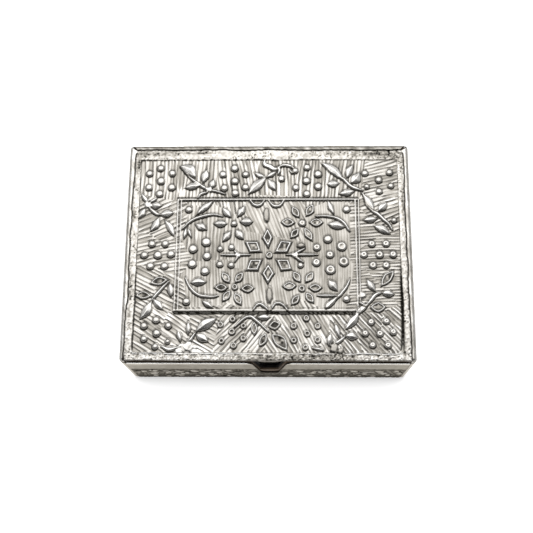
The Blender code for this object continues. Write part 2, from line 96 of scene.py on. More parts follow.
def blur(field, sigma):
    # gaussian blur through the frequency domain, with mirrored margins
    reach = int(4 * sigma) + 2
    padded = np.pad(field, reach, mode="reflect")
    fy = np.fft.fftfreq(padded.shape[0])[:, None]
    fx = np.fft.rfftfreq(padded.shape[1])[None, :]
    kernel = np.exp(-2 * (math.pi * sigma) ** 2 * (fx ** 2 + fy ** 2))
    smooth = np.fft.irfft2(np.fft.rfft2(padded) * kernel, s=padded.shape)
    return smooth[reach:-reach, reach:-reach]


def curveThrough(points, pieces=6):
    # a smooth line through the points given
    points = [np.array(p, float) for p in points]
    if len(points) < 3:
        return points
    ends = [2 * points[0] - points[1]] + points + [2 * points[-1] - points[-2]]
    line = []
    for a, b, c, d in zip(ends, ends[1:], ends[2:], ends[3:]):
        for step in range(pieces):
            t = step / pieces
            line.append(0.5 * (2 * b + (c - a) * t + (2 * a - 5 * b + 4 * c - d) * t ** 2
                               + (3 * b - a - 3 * c + d) * t ** 3))
    return line + [points[-1]]


# Distances into a motif's outline, positive inside

def insideCircle(x, y, centre, radius):
    return radius - np.hypot(x - centre[0], y - centre[1])


def insideOval(x, y, centre, halfWide, halfTall):
    reach = np.hypot((x - centre[0]) / halfWide, (y - centre[1]) / halfTall)
    return (1 - reach) * min(halfWide, halfTall)


def insideLeaf(x, y, start, end, width, bow=0.0):
    # pointed at both ends, with the middle line bent to the left by the bow
    ax, ay = end[0] - start[0], end[1] - start[1]
    half = math.hypot(ax, ay) / 2
    ax, ay = ax / (2 * half), ay / (2 * half)
    cx, cy = (start[0] + end[0]) / 2, (start[1] + end[1]) / 2
    share = ((x - cx) * ax + (y - cy) * ay) / half
    across = np.abs((y - cy) * ax - (x - cx) * ay - bow * (1 - share ** 2))
    reach = np.abs(share)
    lean = 0.8 * width * np.minimum(reach, 1.2) ** 0.6 / half
    return (0.56 * width * (1 - reach ** 1.8) - across) / np.sqrt(1 + lean ** 2)


def insidePolygon(x, y, corners):
    # corners run clockwise or anticlockwise round a convex outline
    area = sum(a[0] * b[1] - b[0] * a[1] for a, b in zip(corners, corners[1:] + corners[:1]))
    turn = 1 if area > 0 else -1
    inside = None
    for a, b in zip(corners, corners[1:] + corners[:1]):
        ex, ey = b[0] - a[0], b[1] - a[1]
        length = math.hypot(ex, ey)
        side = turn * (ex * (y - a[1]) - ey * (x - a[0])) / length
        inside = side if inside is None else np.minimum(inside, side)
    return inside


def insideStroke(x, y, line, width, taper=0.0):
    # a line of even width, or one that thins out towards both ends by the share given as taper
    inside = None
    for index, (a, b) in enumerate(zip(line, line[1:])):
        ex, ey = b[0] - a[0], b[1] - a[1]
        t = np.clip(((x - a[0]) * ex + (y - a[1]) * ey) / (ex * ex + ey * ey + 1e-9), 0, 1)
        place = 2 * (index + t) / (len(line) - 1) - 1
        here = width / 2 * (1 - taper * place ** 2) - np.hypot(x - a[0] - t * ex, y - a[1] - t * ey)
        inside = here if inside is None else np.maximum(inside, here)
    return inside


# One sheet's relief as a fine raster: height in millimetres and tone from dark patina to rubbed metal

class Relief:
    def __init__(self, low, high, cell=0.1):
        self.low, self.cell = low, cell
        self.x = np.arange(low[0], high[0] + cell, cell)
        self.y = np.arange(low[1], high[1] + cell, cell)
        self.gridX, self.gridY = np.meshgrid(self.x, self.y)
        self.height = np.zeros(self.gridX.shape)
        self.tone = np.full(self.gridX.shape, 0.5)
        self.wobble = noise(self.gridX / 0.9, self.gridY / 0.9, 71) - 0.5

    def window(self, points, reach):
        xs = [p[0] for p in points]
        ys = [p[1] for p in points]
        i0 = max(int((min(xs) - reach - self.low[0]) / self.cell), 0)
        j0 = max(int((min(ys) - reach - self.low[1]) / self.cell), 0)
        i1 = int((max(xs) + reach - self.low[0]) / self.cell) + 2
        j1 = int((max(ys) + reach - self.low[1]) / self.cell) + 2
        return slice(j0, max(j1, j0)), slice(i0, max(i1, i0))

    def emboss(self, points, reach, distance, style, ground):
        spot = self.window(points, reach + 1.2)
        x, y = self.gridX[spot], self.gridY[spot]
        if not x.size:
            return
        d = distance(x, y) + style.get("rough", 0.16) * self.wobble[spot]
        edge = style["edge"]
        shoulder = np.sqrt(1 - (1 - np.clip(d / edge, 0, 1)) ** 2)
        raised = style["height"] * shoulder + style.get("roof", 0) * np.clip(d, 0, 3)
        if style.get("dish"):
            raised -= style["dish"] * smoothStep(style["rim"], style["rim"] + 0.35, d)
        inside = smoothStep(-0.06, 0.12, d)
        self.height[spot] += inside * (ground + raised - self.height[spot])
        gap = style["gap"]
        moat = np.exp(-((d + gap) / gap) ** 2) * (d < 0.3)
        self.height[spot] -= style["groove"] * moat
        sunk = smoothStep(style.get("rim", 9), style.get("rim", 9) + 0.4, d)
        body = style["tone"] + (style.get("dishTone", 0) + 0.7 * self.wobble[spot]) * sunk
        self.tone[spot] += inside * (body - self.tone[spot])
        # every motif gets a dark outline at its groove; on the side facing -y in the raster (the front on the
        # lid, the underside on the case sheets) it is wider and darker, which is painted shade
        shadedSide = np.clip(np.gradient(d, self.cell, axis=0), 0, 1) if min(d.shape) > 1 else 0
        line = np.exp(-((d + 0.5 * gap + 0.10 * shadedSide) / (0.9 * gap + 0.12 * shadedSide)) ** 2)
        self.tone[spot] -= style["line"] * line * (0.45 + 2.4 * shadedSide)

    def finish(self, softness, depth, share):
        # soften the raster, then darken what lies below its surroundings and rub what stands above
        self.height = blur(self.height, softness / self.cell)
        wide = blur(self.height, depth / self.cell)
        self.tone = blur(self.tone, softness / self.cell) + share * (self.height - wide)
        self.tone = np.clip(self.tone, 0, 1)

    def sample(self, field, x, y):
        u = np.clip((x - self.low[0]) / self.cell, 0, len(self.x) - 1.001)
        v = np.clip((y - self.low[1]) / self.cell, 0, len(self.y) - 1.001)
        i, j = u.astype(int), v.astype(int)
        fu, fv = u - i, v - j
        near = field[j, i] * (1 - fu) + field[j, i + 1] * fu
        far = field[j + 1, i] * (1 - fu) + field[j + 1, i + 1] * fu
        return near * (1 - fv) + far * fv


toolStroke = {
    "body": 0.80, "fine": 0.28, "rim": 0.45, "cut": 0.52, "cutAt": 0.10, "cutWidth": 0.11,
    "rimAt": 0.84, "rimWidth": 0.09,
}


def chisel(x, y, angle, pitch, seed):
    # rows of tool strokes that wander, each with its own breadth and tapered ends
    along = x * math.cos(angle) + y * math.sin(angle)
    across = -x * math.sin(angle) + y * math.cos(angle)
    row = across / (1.15 * pitch) + 0.9 * noise(along / 14, across / 6, seed)
    row = row + 0.2 * noise(along / 4, across / 2, seed + 1)
    index = np.floor(row)
    offset = np.abs(row - index - 0.5)
    breadth = smoothStep(0.16, 0.78, noise(index, along / 6.5, seed + 2))
    stroke = smoothStep(0.12 + 0.39 * breadth, -0.06 + 0.39 * breadth, offset)
    fine = smoothStep(0.55, 0.85, noise(across / 0.42, along / 5.0, seed + 3))
    share = row - index
    kept = smoothStep(0.25, 0.5, noise(index, along / 5.0, seed + 4))
    cut = np.exp(-((share - toolStroke["cutAt"]) / toolStroke["cutWidth"]) ** 2) * kept
    worn = smoothStep(0.3, 0.6, noise(index + 40, along / 4.0, seed + 4))
    rim = np.exp(-((share - toolStroke["rimAt"]) / toolStroke["rimWidth"]) ** 2) * worn
    raised = toolStroke["body"] * stroke + toolStroke["fine"] * fine + toolStroke["rim"] * rim
    return np.clip(raised, 0, 1.15) - toolStroke["cut"] * cut


# The lid sheet

lid = {
    "fieldLeft": -50.1, "fieldRight": 50.3, "fieldRear": 36.9, "fieldFront": -39.9,
    "panelLeft": -34.5, "panelRight": 34.5, "panelRear": 20.9, "panelFront": -24.1,
    "spacing": 0.22, "sheet": 0.35,
    "fieldDepth": 0.26, "hatchHeight": 0.16, "edgeRadius": 1.4,
    "seam": 0.22, "bandWidth": 2.0, "rearBandWidth": 2.15,
    "dimple": 0.09, "pit": 0.06, "speck": 0.05, "score": 0.16, "ridge": 0.08,
    "borderTone": 0.24, "fieldTone": 0.48, "strokeTone": 0.34, "cloudTone": 0.08, "scoreTone": 0.50,
    "ridgeTone": 0.26,
}

# Where the tool strokes change direction: x, y, angle in degrees, pitch, strength
lidStrokes = [
    (0, -2, 91, 0.9, 0.40), (-26, 5, 88, 1.2, 0.70), (26, 8, 93, 0.9, 0.40), (-25, -14, 92, 1.0, 0.55),
    (24, -14, 87, 0.85, 0.35), (3, 13, 112, 1.2, 0.65), (-3, -17, 97, 1.0, 0.5), (-43, 30, 88, 1.3, 0.9),
    (-28, 31, 86, 1.2, 0.9), (-12, 30, 100, 1.25, 1.0), (4, 31, 92, 1.3, 1.0), (17, 30, 86, 1.2, 1.0),
    (30, 31, 82, 1.2, 0.9), (44, 29, 17, 1.2, 0.9), (-46, 13, 22, 1.5, 0.9), (-40, 9, 26, 1.5, 0.9),
    (-46, 0, 14, 1.3, 0.8), (-38, -2, 8, 1.2, 0.8), (-46, -13, -29, 1.25, 0.9),
    (-38, -17, -27, 1.25, 0.9), (-44, -27, -31, 1.25, 0.9), (-34, -31, -34, 1.25, 0.9),
    (-24, -31, -30, 1.2, 0.9), (-14, -33, 47, 1.2, 0.9), (-4, -30, 52, 1.2, 0.9),
    (6, -33, -57, 1.15, 0.9), (16, -32, -60, 1.1, 0.9), (38, -32, -48, 1.1, 1.3),
    (46, -33, -46, 1.1, 1.3), (29, -34, -52, 1.05, 1.2), (44, 14, 20, 1.3, 0.9), (37, 8, 5, 1.2, 0.8),
    (43, -1, 3, 1.0, 0.8), (46, -10, 2, 1.0, 0.8), (38, -17, 4, 1.0, 0.8),
]

lidDots = {
    "plain": [
        (-46.7, 31.4, 1.4), (-42.4, 33.6, 1.4), (-37.8, 31.5, 1.4), (-42.1, 28.3, 1.55),
        (-46.7, 25.6, 1.45), (-37.8, 25.6, 1.5), (-42.4, 22.9, 1.5), (-17.8, 31.0, 1.45),
        (-13.3, 33.6, 1.5), (-8.9, 31.0, 1.3), (-13.1, 28.2, 1.5), (-17.2, 25.3, 1.4), (-8.9, 25.6, 1.4),
        (-12.9, 23.2, 1.45), (10.5, 32.5, 1.2), (15.1, 33.9, 1.4), (19.4, 31.1, 1.5), (14.9, 28.3, 1.5),
        (10.7, 25.4, 1.4), (19.4, 25.9, 1.5), (15.0, 22.8, 1.45), (-44.5, 2.4, 1.4), (-39.4, 2.4, 1.4),
        (-47.3, -2.1, 1.4), (-42.1, -2.1, 1.6), (-37.1, -1.7, 1.5), (-44.8, -6.5, 1.45),
        (-39.4, -6.5, 1.45), (-41.7, -27.5, 1.4), (-46.2, -29.7, 1.35), (-37.1, -29.7, 1.3),
        (-41.3, -32.5, 1.45), (-46.0, -34.7, 1.25), (-41.7, -37.6, 1.2), (-37.1, -35.7, 1.0),
        (-30.75, 16.4, 1.4), (-30.6, -20.4, 1.4), (30.2, 16.4, 1.45), (29.5, -19.3, 1.35),
        (-23.7, 3.1, 1.75), (-28.7, 0.4, 1.7), (-23.3, -2.5, 1.6), (-28.8, -5.6, 1.7), (-23.9, -8.5, 1.6),
        (-18.3, 0.4, 1.15), (-14.0, 1.0, 1.25), (-18.3, -5.8, 1.3), (-14.0, -6.1, 1.2),
        (-13.2, 10.6, 1.2), (22.9, 4.3, 1.6), (48.4, 11.9, 1.1), (37.7, 31.4, 1.35), (47.3, 31.7, 1.3),
        (43.0, 28.6, 1.35), (38.3, 25.8, 1.1), (47.6, 26.1, 1.2), (43.0, 23.8, 1.35),
    ],
    "dished": [
        (39.6, 2.4, 1.4), (45.0, 2.5, 1.4), (36.5, -1.9, 1.4), (42.4, -1.9, 1.5), (47.6, -1.8, 1.4),
        (39.8, -6.1, 1.45), (44.8, -6.1, 1.4), (38.5, -28.1, 1.3), (44.2, -27.8, 1.3), (36.2, -32.4, 1.3),
        (41.6, -32.5, 1.35), (46.6, -31.9, 1.3), (38.8, -36.8, 1.25), (44.5, -36.9, 1.3),
        (28.1, 1.4, 1.85), (23.6, -1.9, 1.45), (28.8, -4.7, 1.9), (23.7, -7.9, 1.85), (18.6, 1.0, 1.45),
        (18.4, -5.0, 1.55), (12.4, -6.1, 1.1), (13.1, 10.8, 1.4), (5.1, 29.2, 1.25),
    ],
    "sunk": [
        (-17.6, -29.2, 1.2), (-13.1, -27.2, 1.2), (-9.0, -29.7, 1.15), (-13.3, -31.9, 1.25),
        (-17.1, -35.4, 1.2), (-9.0, -34.4, 1.15), (-12.6, -37.1, 1.2), (9.7, -29.7, 1.2),
        (14.4, -26.7, 1.2), (18.6, -29.7, 1.2), (14.7, -32.6, 1.2), (9.7, -35.1, 1.15),
        (18.5, -35.0, 1.2), (14.0, -37.8, 1.1), (-12.5, -14.7, 1.2), (12.8, -15.3, 1.25),
        (0.5, -2.2, 1.3),
    ],
}

# Leaves: start, end, width, bow to the left of the way from start to end
lidLeaves = [
    (-34.8, 34.6, -28.4, 29.4, 3.9, 1.2), (-24.2, 33.1, -25.6, 27.5, 2.7, 0),
    (-32.7, 25.3, -26.7, 26.5, 2.8, 0.2), (-22.6, 25.0, -21.3, 28.9, 2.4, 0),
    (-46.0, 18.3, -41.3, 17.9, 2.8, 0), (-46.7, 18.9, -49.5, 23.1, 1.6, 0),
    (-46.5, 19.0, -43.1, 21.4, 1.2, 0), (-47.6, 16.9, -50.2, 12.8, 2.2, 0),
    (-41.9, 14.2, -36.7, 15.1, 2.8, 0.1), (-42.3, 13.3, -45.5, 7.4, 2.6, 0.6),
    (-40.1, 12.2, -36.0, 5.3, 2.3, 0.4), (-0.8, 29.6, -5.6, 31.7, 1.8, 0.2),
    (-0.8, 29.6, 3.1, 32.2, 1.7, 0), (-0.8, 29.6, -7.8, 22.8, 3.3, -0.3),
    (-0.3, 28.9, 2.8, 24.2, 2.6, 0.2), (20.6, 35.8, 29.2, 28.3, 3.1, 0.9),
    (30.6, 29.4, 33.1, 35.0, 2.5, 0.3), (32.0, 27.2, 35.6, 31.7, 3.4, -0.5),
    (22.8, 26.9, 27.6, 27.2, 2.7, 0), (27.6, 22.8, 33.4, 23.9, 2.6, 0),
    (36.5, 22.5, 40.8, 16.0, 2.3, 0.5), (42.3, 15.6, 46.0, 19.2, 2.6, 0),
    (36.7, 11.9, 41.9, 12.6, 2.4, 0), (40.6, 9.7, 46.7, 6.4, 2.7, 0.3),
    (-37.0, -13.0, -36.4, -18.6, 2.2, 0), (-43.7, -20.3, -47.7, -27.1, 3.0, 0.4),
    (-43.1, -19.4, -39.4, -23.5, 2.4, 0), (42.8, -16.9, 47.4, -17.5, 2.5, 0),
    (37.3, -11.7, 40.3, -16.4, 2.4, 0), (34.0, -24.5, 28.8, -31.0, 2.6, 0.3),
    (-26.7, -31.9, -19.2, -26.7, 3.5, 0.3), (-26.7, -32.8, -21.9, -35.7, 2.8, 0),
    (-29.6, -28.1, -29.5, -33.1, 1.8, 0), (-33.4, -31.4, -32.3, -35.8, 1.6, 0),
    (-3.9, -26.4, 1.0, -26.4, 2.2, 0), (28.7, -33.3, 33.4, -34.2, 2.8, 0.3),
    (23.4, -32.4, 22.6, -37.2, 2.2, 0), (25.1, -28.6, 26.7, -34.2, 1.8, 0),
    (-27.7, 14.3, -21.4, 19.9, 2.2, 0.2), (-28.1, 10.3, -23.7, 8.1, 2.7, 0.2),
    (-31.5, 9.0, -32.3, 4.5, 1.5, 0), (-31.0, 9.0, -29.5, 5.0, 1.2, 0), (25.3, 14.4, 23.0, 20.0, 1.9, 0),
    (23.0, 10.3, 29.5, 9.2, 3.0, 0.2), (-29.2, -13.0, -23.4, -12.8, 2.8, 0.2),
    (-24.6, -20.0, -20.6, -22.8, 1.8, 0), (22.8, -11.9, 26.2, -16.1, 2.8, 0),
    (26.0, -18.5, 21.8, -23.0, 1.7, 0),
]

# Leaves pressed flat in the middle
lidSunkLeaves = [
    (42.6, -14.4, 47.7, -8.3, 3.0, 0.2), (-44.5, -13.3, -37.8, -11.9, 3.0, 0.2),
    (-49.9, -18.1, -43.9, -18.3, 2.8, 0.3), (38.3, -22.5, 44.1, -22.5, 3.5, 0),
    (0.3, -30.0, 5.0, -28.9, 3.0, 0), (-5.0, -28.0, -5.0, -33.3, 2.2, 0),
    (-0.6, -32.4, -3.1, -37.5, 2.6, 0.2), (1.4, -32.8, 7.2, -39.0, 3.8, 0.6),
]

# Petals of the four small flowers
lidPetals = [
    (-20.9, 10.6, -15.8, 10.6, 2.7), (-10.8, 11.4, -5.9, 11.4, 2.9), (-17.8, 17.2, -14.4, 13.1, 2.4),
    (-11.9, 13.3, -9.0, 17.9, 2.4), (-17.5, 3.3, -14.4, 7.5, 2.4), (-12.5, 8.1, -9.4, 4.2, 2.6),
    (5.0, 11.1, 10.2, 11.0, 2.9), (15.9, 11.0, 21.1, 11.0, 2.8), (9.2, 17.5, 11.9, 13.0, 2.5),
    (17.5, 18.3, 14.6, 13.6, 2.8), (8.6, 4.7, 11.8, 8.5, 2.5), (13.9, 8.9, 16.9, 3.6, 2.4),
    (-20.2, -15.0, -15.1, -15.0, 2.7), (-10.2, -15.4, -5.1, -15.2, 2.8), (-17.5, -8.9, -14.4, -13.1, 2.5),
    (-12.4, -13.1, -9.4, -8.9, 2.5), (-16.9, -20.3, -14.2, -16.1, 2.4), (-12.5, -16.9, -10.0, -21.7, 2.6),
    (5.5, -14.4, 10.7, -14.2, 2.7), (15.3, -15.0, 20.4, -15.0, 2.7), (9.6, -8.6, 12.2, -12.8, 2.5),
    (17.2, -8.9, 14.2, -12.9, 2.5), (8.8, -21.7, 11.9, -17.8, 2.4), (14.2, -16.9, 17.2, -20.8, 2.5),
]

lidRhombs = [
    [(-0.3, 8.9), (1.7, 4.9), (0.1, 0.8), (-2.2, 4.7)], [(0.1, -5.6), (2.4, -9.4), (0.0, -13.3),
    (-2.2, -9.4)], [(-8.9, 3.3), (-4.0, 3.2), (-2.6, -0.8), (-6.9, -1.0)], [(4.7, 3.6), (9.2, 3.2),
    (7.2, -1.1), (2.5, -1.1)], [(-6.8, -4.0), (-2.2, -3.9), (-3.9, -8.2), (-8.3, -8.2)], [(3.1, -3.9),
    (7.8, -4.0), (9.0, -7.9), (5.0, -8.3)],
]

lidOvals = [(-0.7, 14.2, 1.2, 3.0), (0.6, -17.8, 1.2, 2.9), (12.6, 1.8, 1.5, 1.0)]

# Stems: width, then the points they pass
lidStems = [
    (1.2, [(-34.5, 34.0), (-31.0, 30.0), (-28.0, 27.5), (-25.0, 25.5), (-23.2, 24.6), (-20.1, 23.9),
    (-17.0, 22.8)]), (1.2, [(-23.9, 23.5), (-26.2, 22.8), (-27.4, 21.1)]), (1.35, [(-46.5, 17.6),
    (-45.1, 16.1), (-43.1, 14.6), (-42.0, 14.2)]), (1.9, [(-1.6, 37.0), (-1.4, 35.2), (0.6, 34.2),
    (2.4, 33.2), (4.6, 34.0)]), (1.3, [(3.8, 34.0), (6.2, 34.9), (8.6, 34.4), (10.8, 33.0)]), (1.2,
    [(3.6, 34.4), (4.3, 32.8), (3.9, 31.1)]), (1.05, [(9.4, 34.0), (10.5, 32.8), (9.4, 31.6),
    (8.3, 32.7)]), (1.35, [(26.7, 30.6), (29.0, 29.2), (32.0, 26.1), (34.2, 25.0), (36.4, 24.2)]), (1.35,
    [(36.4, 23.1), (37.6, 21.4), (38.1, 18.6), (40.6, 15.6), (42.3, 14.4), (44.8, 11.9), (46.4, 10.3),
    (47.6, 8.1)]), (1.2, [(-37.6, -12.6), (-40.1, -15.3), (-42.8, -18.6), (-43.6, -20.2)]), (1.35,
    [(42.6, -16.9), (40.6, -17.5), (38.4, -20.0), (37.0, -21.7)]), (2.1, [(37.0, -21.6), (35.0, -23.2),
    (33.0, -25.2)]), (1.05, [(34.2, -20.6), (36.7, -21.9)]), (1.35, [(-26.8, -32.2), (-29.6, -36.4),
    (-30.6, -38.0)]), (1.6, [(-39.2, -37.5), (-36.4, -38.6), (-33.1, -37.8)]), (1.2, [(-12.2, -30.0),
    (-8.9, -26.9), (-6.4, -26.1), (-4.4, -27.5), (-2.2, -29.4), (0.3, -31.9)]), (1.35, [(28.7, -33.6),
    (26.2, -35.6), (23.7, -37.2)]), (1.2, [(17.0, -38.0), (20.6, -38.8)]), (1.2, [(-32.8, 8.6),
    (-30.6, 11.1), (-27.8, 12.8), (-24.2, 13.9), (-20.9, 14.3), (-17.8, 13.6)]), (1.2, [(18.4, 13.6),
    (22.6, 13.6), (26.4, 12.8), (28.9, 11.1), (30.3, 9.2), (31.2, 7.5)]), (1.2, [(-31.2, -11.1),
    (-29.8, -14.2), (-27.6, -16.7), (-25.1, -18.1), (-20.9, -18.5), (-18.7, -18.1)]), (1.2,
    [(30.9, -11.7), (29.8, -14.2), (27.6, -17.2), (25.3, -19.2), (22.3, -21.4), (21.9, -22.8)]), (1.05,
    [(18.7, -18.0), (25.6, -18.0)]), (1.05, [(-17.8, -2.0), (-7.0, -2.0)]), (1.05, [(7.0, -1.9),
    (18.9, -1.9)]), (1.05, [(-12.8, -0.4), (-11.6, -2.1), (-12.5, -4.7)]), (1.2, [(13.9, 0.6),
    (10.3, -2.0), (13.3, -5.0)]), (1.2, [(-6.9, 20.0), (-5.6, 18.5), (-4.2, 18.0), (-2.9, 18.5),
    (-1.6, 20.0)]), (1.2, [(0.2, 20.0), (1.6, 18.2), (3.1, 17.7), (4.6, 18.2), (6.0, 20.0)]), (1.05,
    [(-5.4, -23.4), (-4.0, -21.6), (-2.6, -21.3), (-1.0, -22.4), (0.2, -23.6)]), (1.05, [(1.2, -23.4),
    (2.6, -21.3), (3.9, -20.9), (5.6, -21.5), (7.4, -23.5)]),
]

lidBlobs = [
    (-46.7, 18.2, 1.5, "blob"), (-23.2, 24.6, 1.1, "blob"), (-31.6, -38.3, 1.9, "blob"),
    (-29.6, -37.6, 2.0, "blob"), (-27.6, -38.6, 1.6, "blob"), (24.6, -38.2, 1.6, "darkBlob"),
    (26.8, -38.9, 1.1, "darkBlob"), (-32.8, -39.6, 1.5, "blob"), (-27.0, -39.8, 1.4, "blob"),
    (35.5, -18.0, 1.3, "blob"), (-11.6, -2.1, 1.1, "blob"), (10.4, -2.0, 1.1, "blob"),
]

# Bars of the frame round the panel: start, end, width
frameBars = [
    ((-34.9, 20.5), (34.7, 20.5), 1.0), ((-35.3, -23.8), (34.2, -23.7), 1.15), ((-35.1, 20.6),
    (-35.2, -24.0), 0.6), ((-33.7, 20.6), (-33.8, -24.0), 0.6), ((33.6, 20.6), (33.8, -24.0), 0.75),
    ((34.9, 20.6), (34.7, -24.0), 0.6),
]
# Scored lines of the frame: from x, to x, y, half width, darkness, share that breaks into dashes
frameScores = [
    (-35.5, 34.8, 21.05, 0.22, 0.35, 0.3), (-33.6, -2.0, 19.75, 0.24, 0.95, 1.0),
    (4.0, 33.4, 19.85, 0.20, 0.50, 0.2), (-35.3, 34.2, -24.80, 0.54, 1.60, 0.05),
]

# Tarnished patches of the border: x, y, half width, half depth, darkness
tarnish = [
    (-45, 39.9, 10, 1.2, 0.30), (-27, 39.9, 6, 0.35, 0.35), (38, 39.6, 14, 1.2, 0.30),
    (48, 38.6, 4, 2.2, 0.20), (0, -41.4, 15, 1.9, 0.20), (15, -41.4, 13, 1.9, 0.17),
    (27, -41.2, 5, 1.4, 0.24), (50.2, -25, 0.50, 13, 1.10), (-51.2, 35.5, 1.0, 2.4, 0.40),
    (-52.0, 14, 0.6, 2.0, 0.35), (51.9, 20, 0.5, 9, 0.30), (-51.8, -20, 0.5, 9, 0.20),
]

# Patches of the field rubbed brighter, or duller where the amount is negative
rubbedPatches = [
    (-34.0, 23.8, 3.2, 2.2, 0.14), (36.0, -21.5, 2.0, 1.6, 0.20), (-30.0, -39.0, 5.0, 2.2, 0.34),
    (-37.0, -26.4, 1.8, 2.2, 0.30), (0, -2, 26, 16, -0.11), (26, -4, 9, 16, -0.08),
    (44, -4, 7, 20, -0.06), (0, -34, 44, 7, 0.06), (0, 31, 44, 6, -0.04),
]

motifStyles = {
    "dot": {"height": 0.52, "edge": 1.00, "roof": 0.03, "groove": 0.10, "gap": 0.18,
        "tone": 0.79, "line": 0.30},
    "dished": {"height": 0.48, "edge": 0.90, "dish": 0.14, "rim": 0.85, "groove": 0.10,
        "gap": 0.18, "tone": 0.82, "dishTone": -0.26, "line": 0.28},
    "sunk": {"height": 0.44, "edge": 0.50, "dish": 0.26, "rim": 0.40, "groove": 0.10,
        "gap": 0.18, "tone": 0.82, "dishTone": -0.50, "line": 0.28},
    "leaf": {"height": 0.24, "edge": 0.30, "roof": 0.25, "groove": 0.12, "gap": 0.18,
        "tone": 0.86, "line": 0.30},
    "sunkLeaf": {"height": 0.48, "edge": 0.44, "dish": 0.30, "rim": 0.42, "groove": 0.12,
        "gap": 0.18, "tone": 0.88, "dishTone": -0.56, "line": 0.28},
    "petal": {"height": 0.26, "edge": 0.30, "roof": 0.26, "groove": 0.12, "gap": 0.18,
        "tone": 0.84, "line": 0.34},
    "sunkPetal": {"height": 0.50, "edge": 0.42, "dish": 0.28, "rim": 0.40, "groove": 0.12,
        "gap": 0.18, "tone": 0.88, "dishTone": -0.44, "line": 0.34},
    "rhomb": {"height": 0.58, "edge": 0.56, "dish": 0.36, "rim": 0.56, "groove": 0.14,
        "gap": 0.20, "tone": 0.94, "dishTone": -0.56, "line": 0.36, "rough": 0.10},
    "oval": {"height": 0.46, "edge": 0.90, "groove": 0.10, "gap": 0.18, "tone": 0.56, "line": 0.26},
    "stem": {"height": 0.44, "edge": 0.56, "groove": 0.12, "gap": 0.18, "tone": 0.88, "line": 0.30},
    "blob": {"height": 0.30, "edge": 1.00, "groove": 0.06, "gap": 0.20, "tone": 0.84,
        "line": 0.10, "rough": 0.8},
    "darkBlob": {"height": 0.34, "edge": 0.80, "groove": 0.08, "gap": 0.20, "tone": 0.60,
        "line": 0.24, "rough": 1.2},
    "bar": {"height": 0.26, "edge": 0.40, "groove": 0.06, "gap": 0.18, "tone": 0.82, "line": 0.16},
}


def stampMotifs(sheet, ground, dots, leaves, stems, sunkLeaves=(), petals=(), rhombs=(), ovals=(), blobs=()):
    def stamp(points, reach, distance, style):
        sheet.emboss(points, reach, distance, motifStyles[style], ground)

    for width, points in stems:
        line = curveThrough(points)
        stamp(line, width, lambda x, y: insideStroke(x, y, line, width, 0.55), "stem")
    pointed = [(*leaf, "leaf") for leaf in leaves] + [(*leaf, "sunkLeaf") for leaf in sunkLeaves]
    pointed += [(*petal, 0.0, "petal" if petal[0] < 0 < petal[1] else "sunkPetal") for petal in petals]
    for x0, y0, x1, y1, width, bow, style in pointed:
        start, end = (x0, y0), (x1, y1)
        stamp([start, end], width, lambda x, y: insideLeaf(x, y, start, end, width, bow), style)
    for corners in rhombs:
        stamp(corners, 0.6, lambda x, y: insidePolygon(x, y, corners), "rhomb")
    for cx, cy, wide, tall in ovals:
        stamp([(cx, cy)], max(wide, tall), lambda x, y: insideOval(x, y, (cx, cy), wide, tall), "oval")
    for cx, cy, radius, style in blobs:
        stamp([(cx, cy)], radius, lambda x, y: insideCircle(x, y, (cx, cy), radius), style)
    for kind, style in (("plain", "dot"), ("dished", "dished"), ("sunk", "sunk")):
        for cx, cy, radius in dots.get(kind, ()):
            stamp([(cx, cy)], radius, lambda x, y: insideCircle(x, y, (cx, cy), radius), style)


def strokeField(x, y, seeds, seed):
    # every place takes the strokes of its nearest seed, with ragged borders between them
    ragged = 2.4 * (noise(x / 3, y / 3, seed) - 0.5)
    nearest = np.full(x.shape, 1e9)
    owner = np.zeros(x.shape, int)
    for index, (sx, sy, angle, pitch, strength) in enumerate(seeds):
        gap = np.hypot(x - sx, y - sy) + ragged
        closer = gap < nearest
        nearest = np.where(closer, gap, nearest)
        owner[closer] = index
    field = np.zeros(x.shape)
    for index, (sx, sy, angle, pitch, strength) in enumerate(seeds):
        own = owner == index
        cuts = chisel(x[own], y[own], math.radians(angle), pitch, seed + 5 * index)
        field[own] = 0.5 + strength * (cuts - 0.5)
    return field


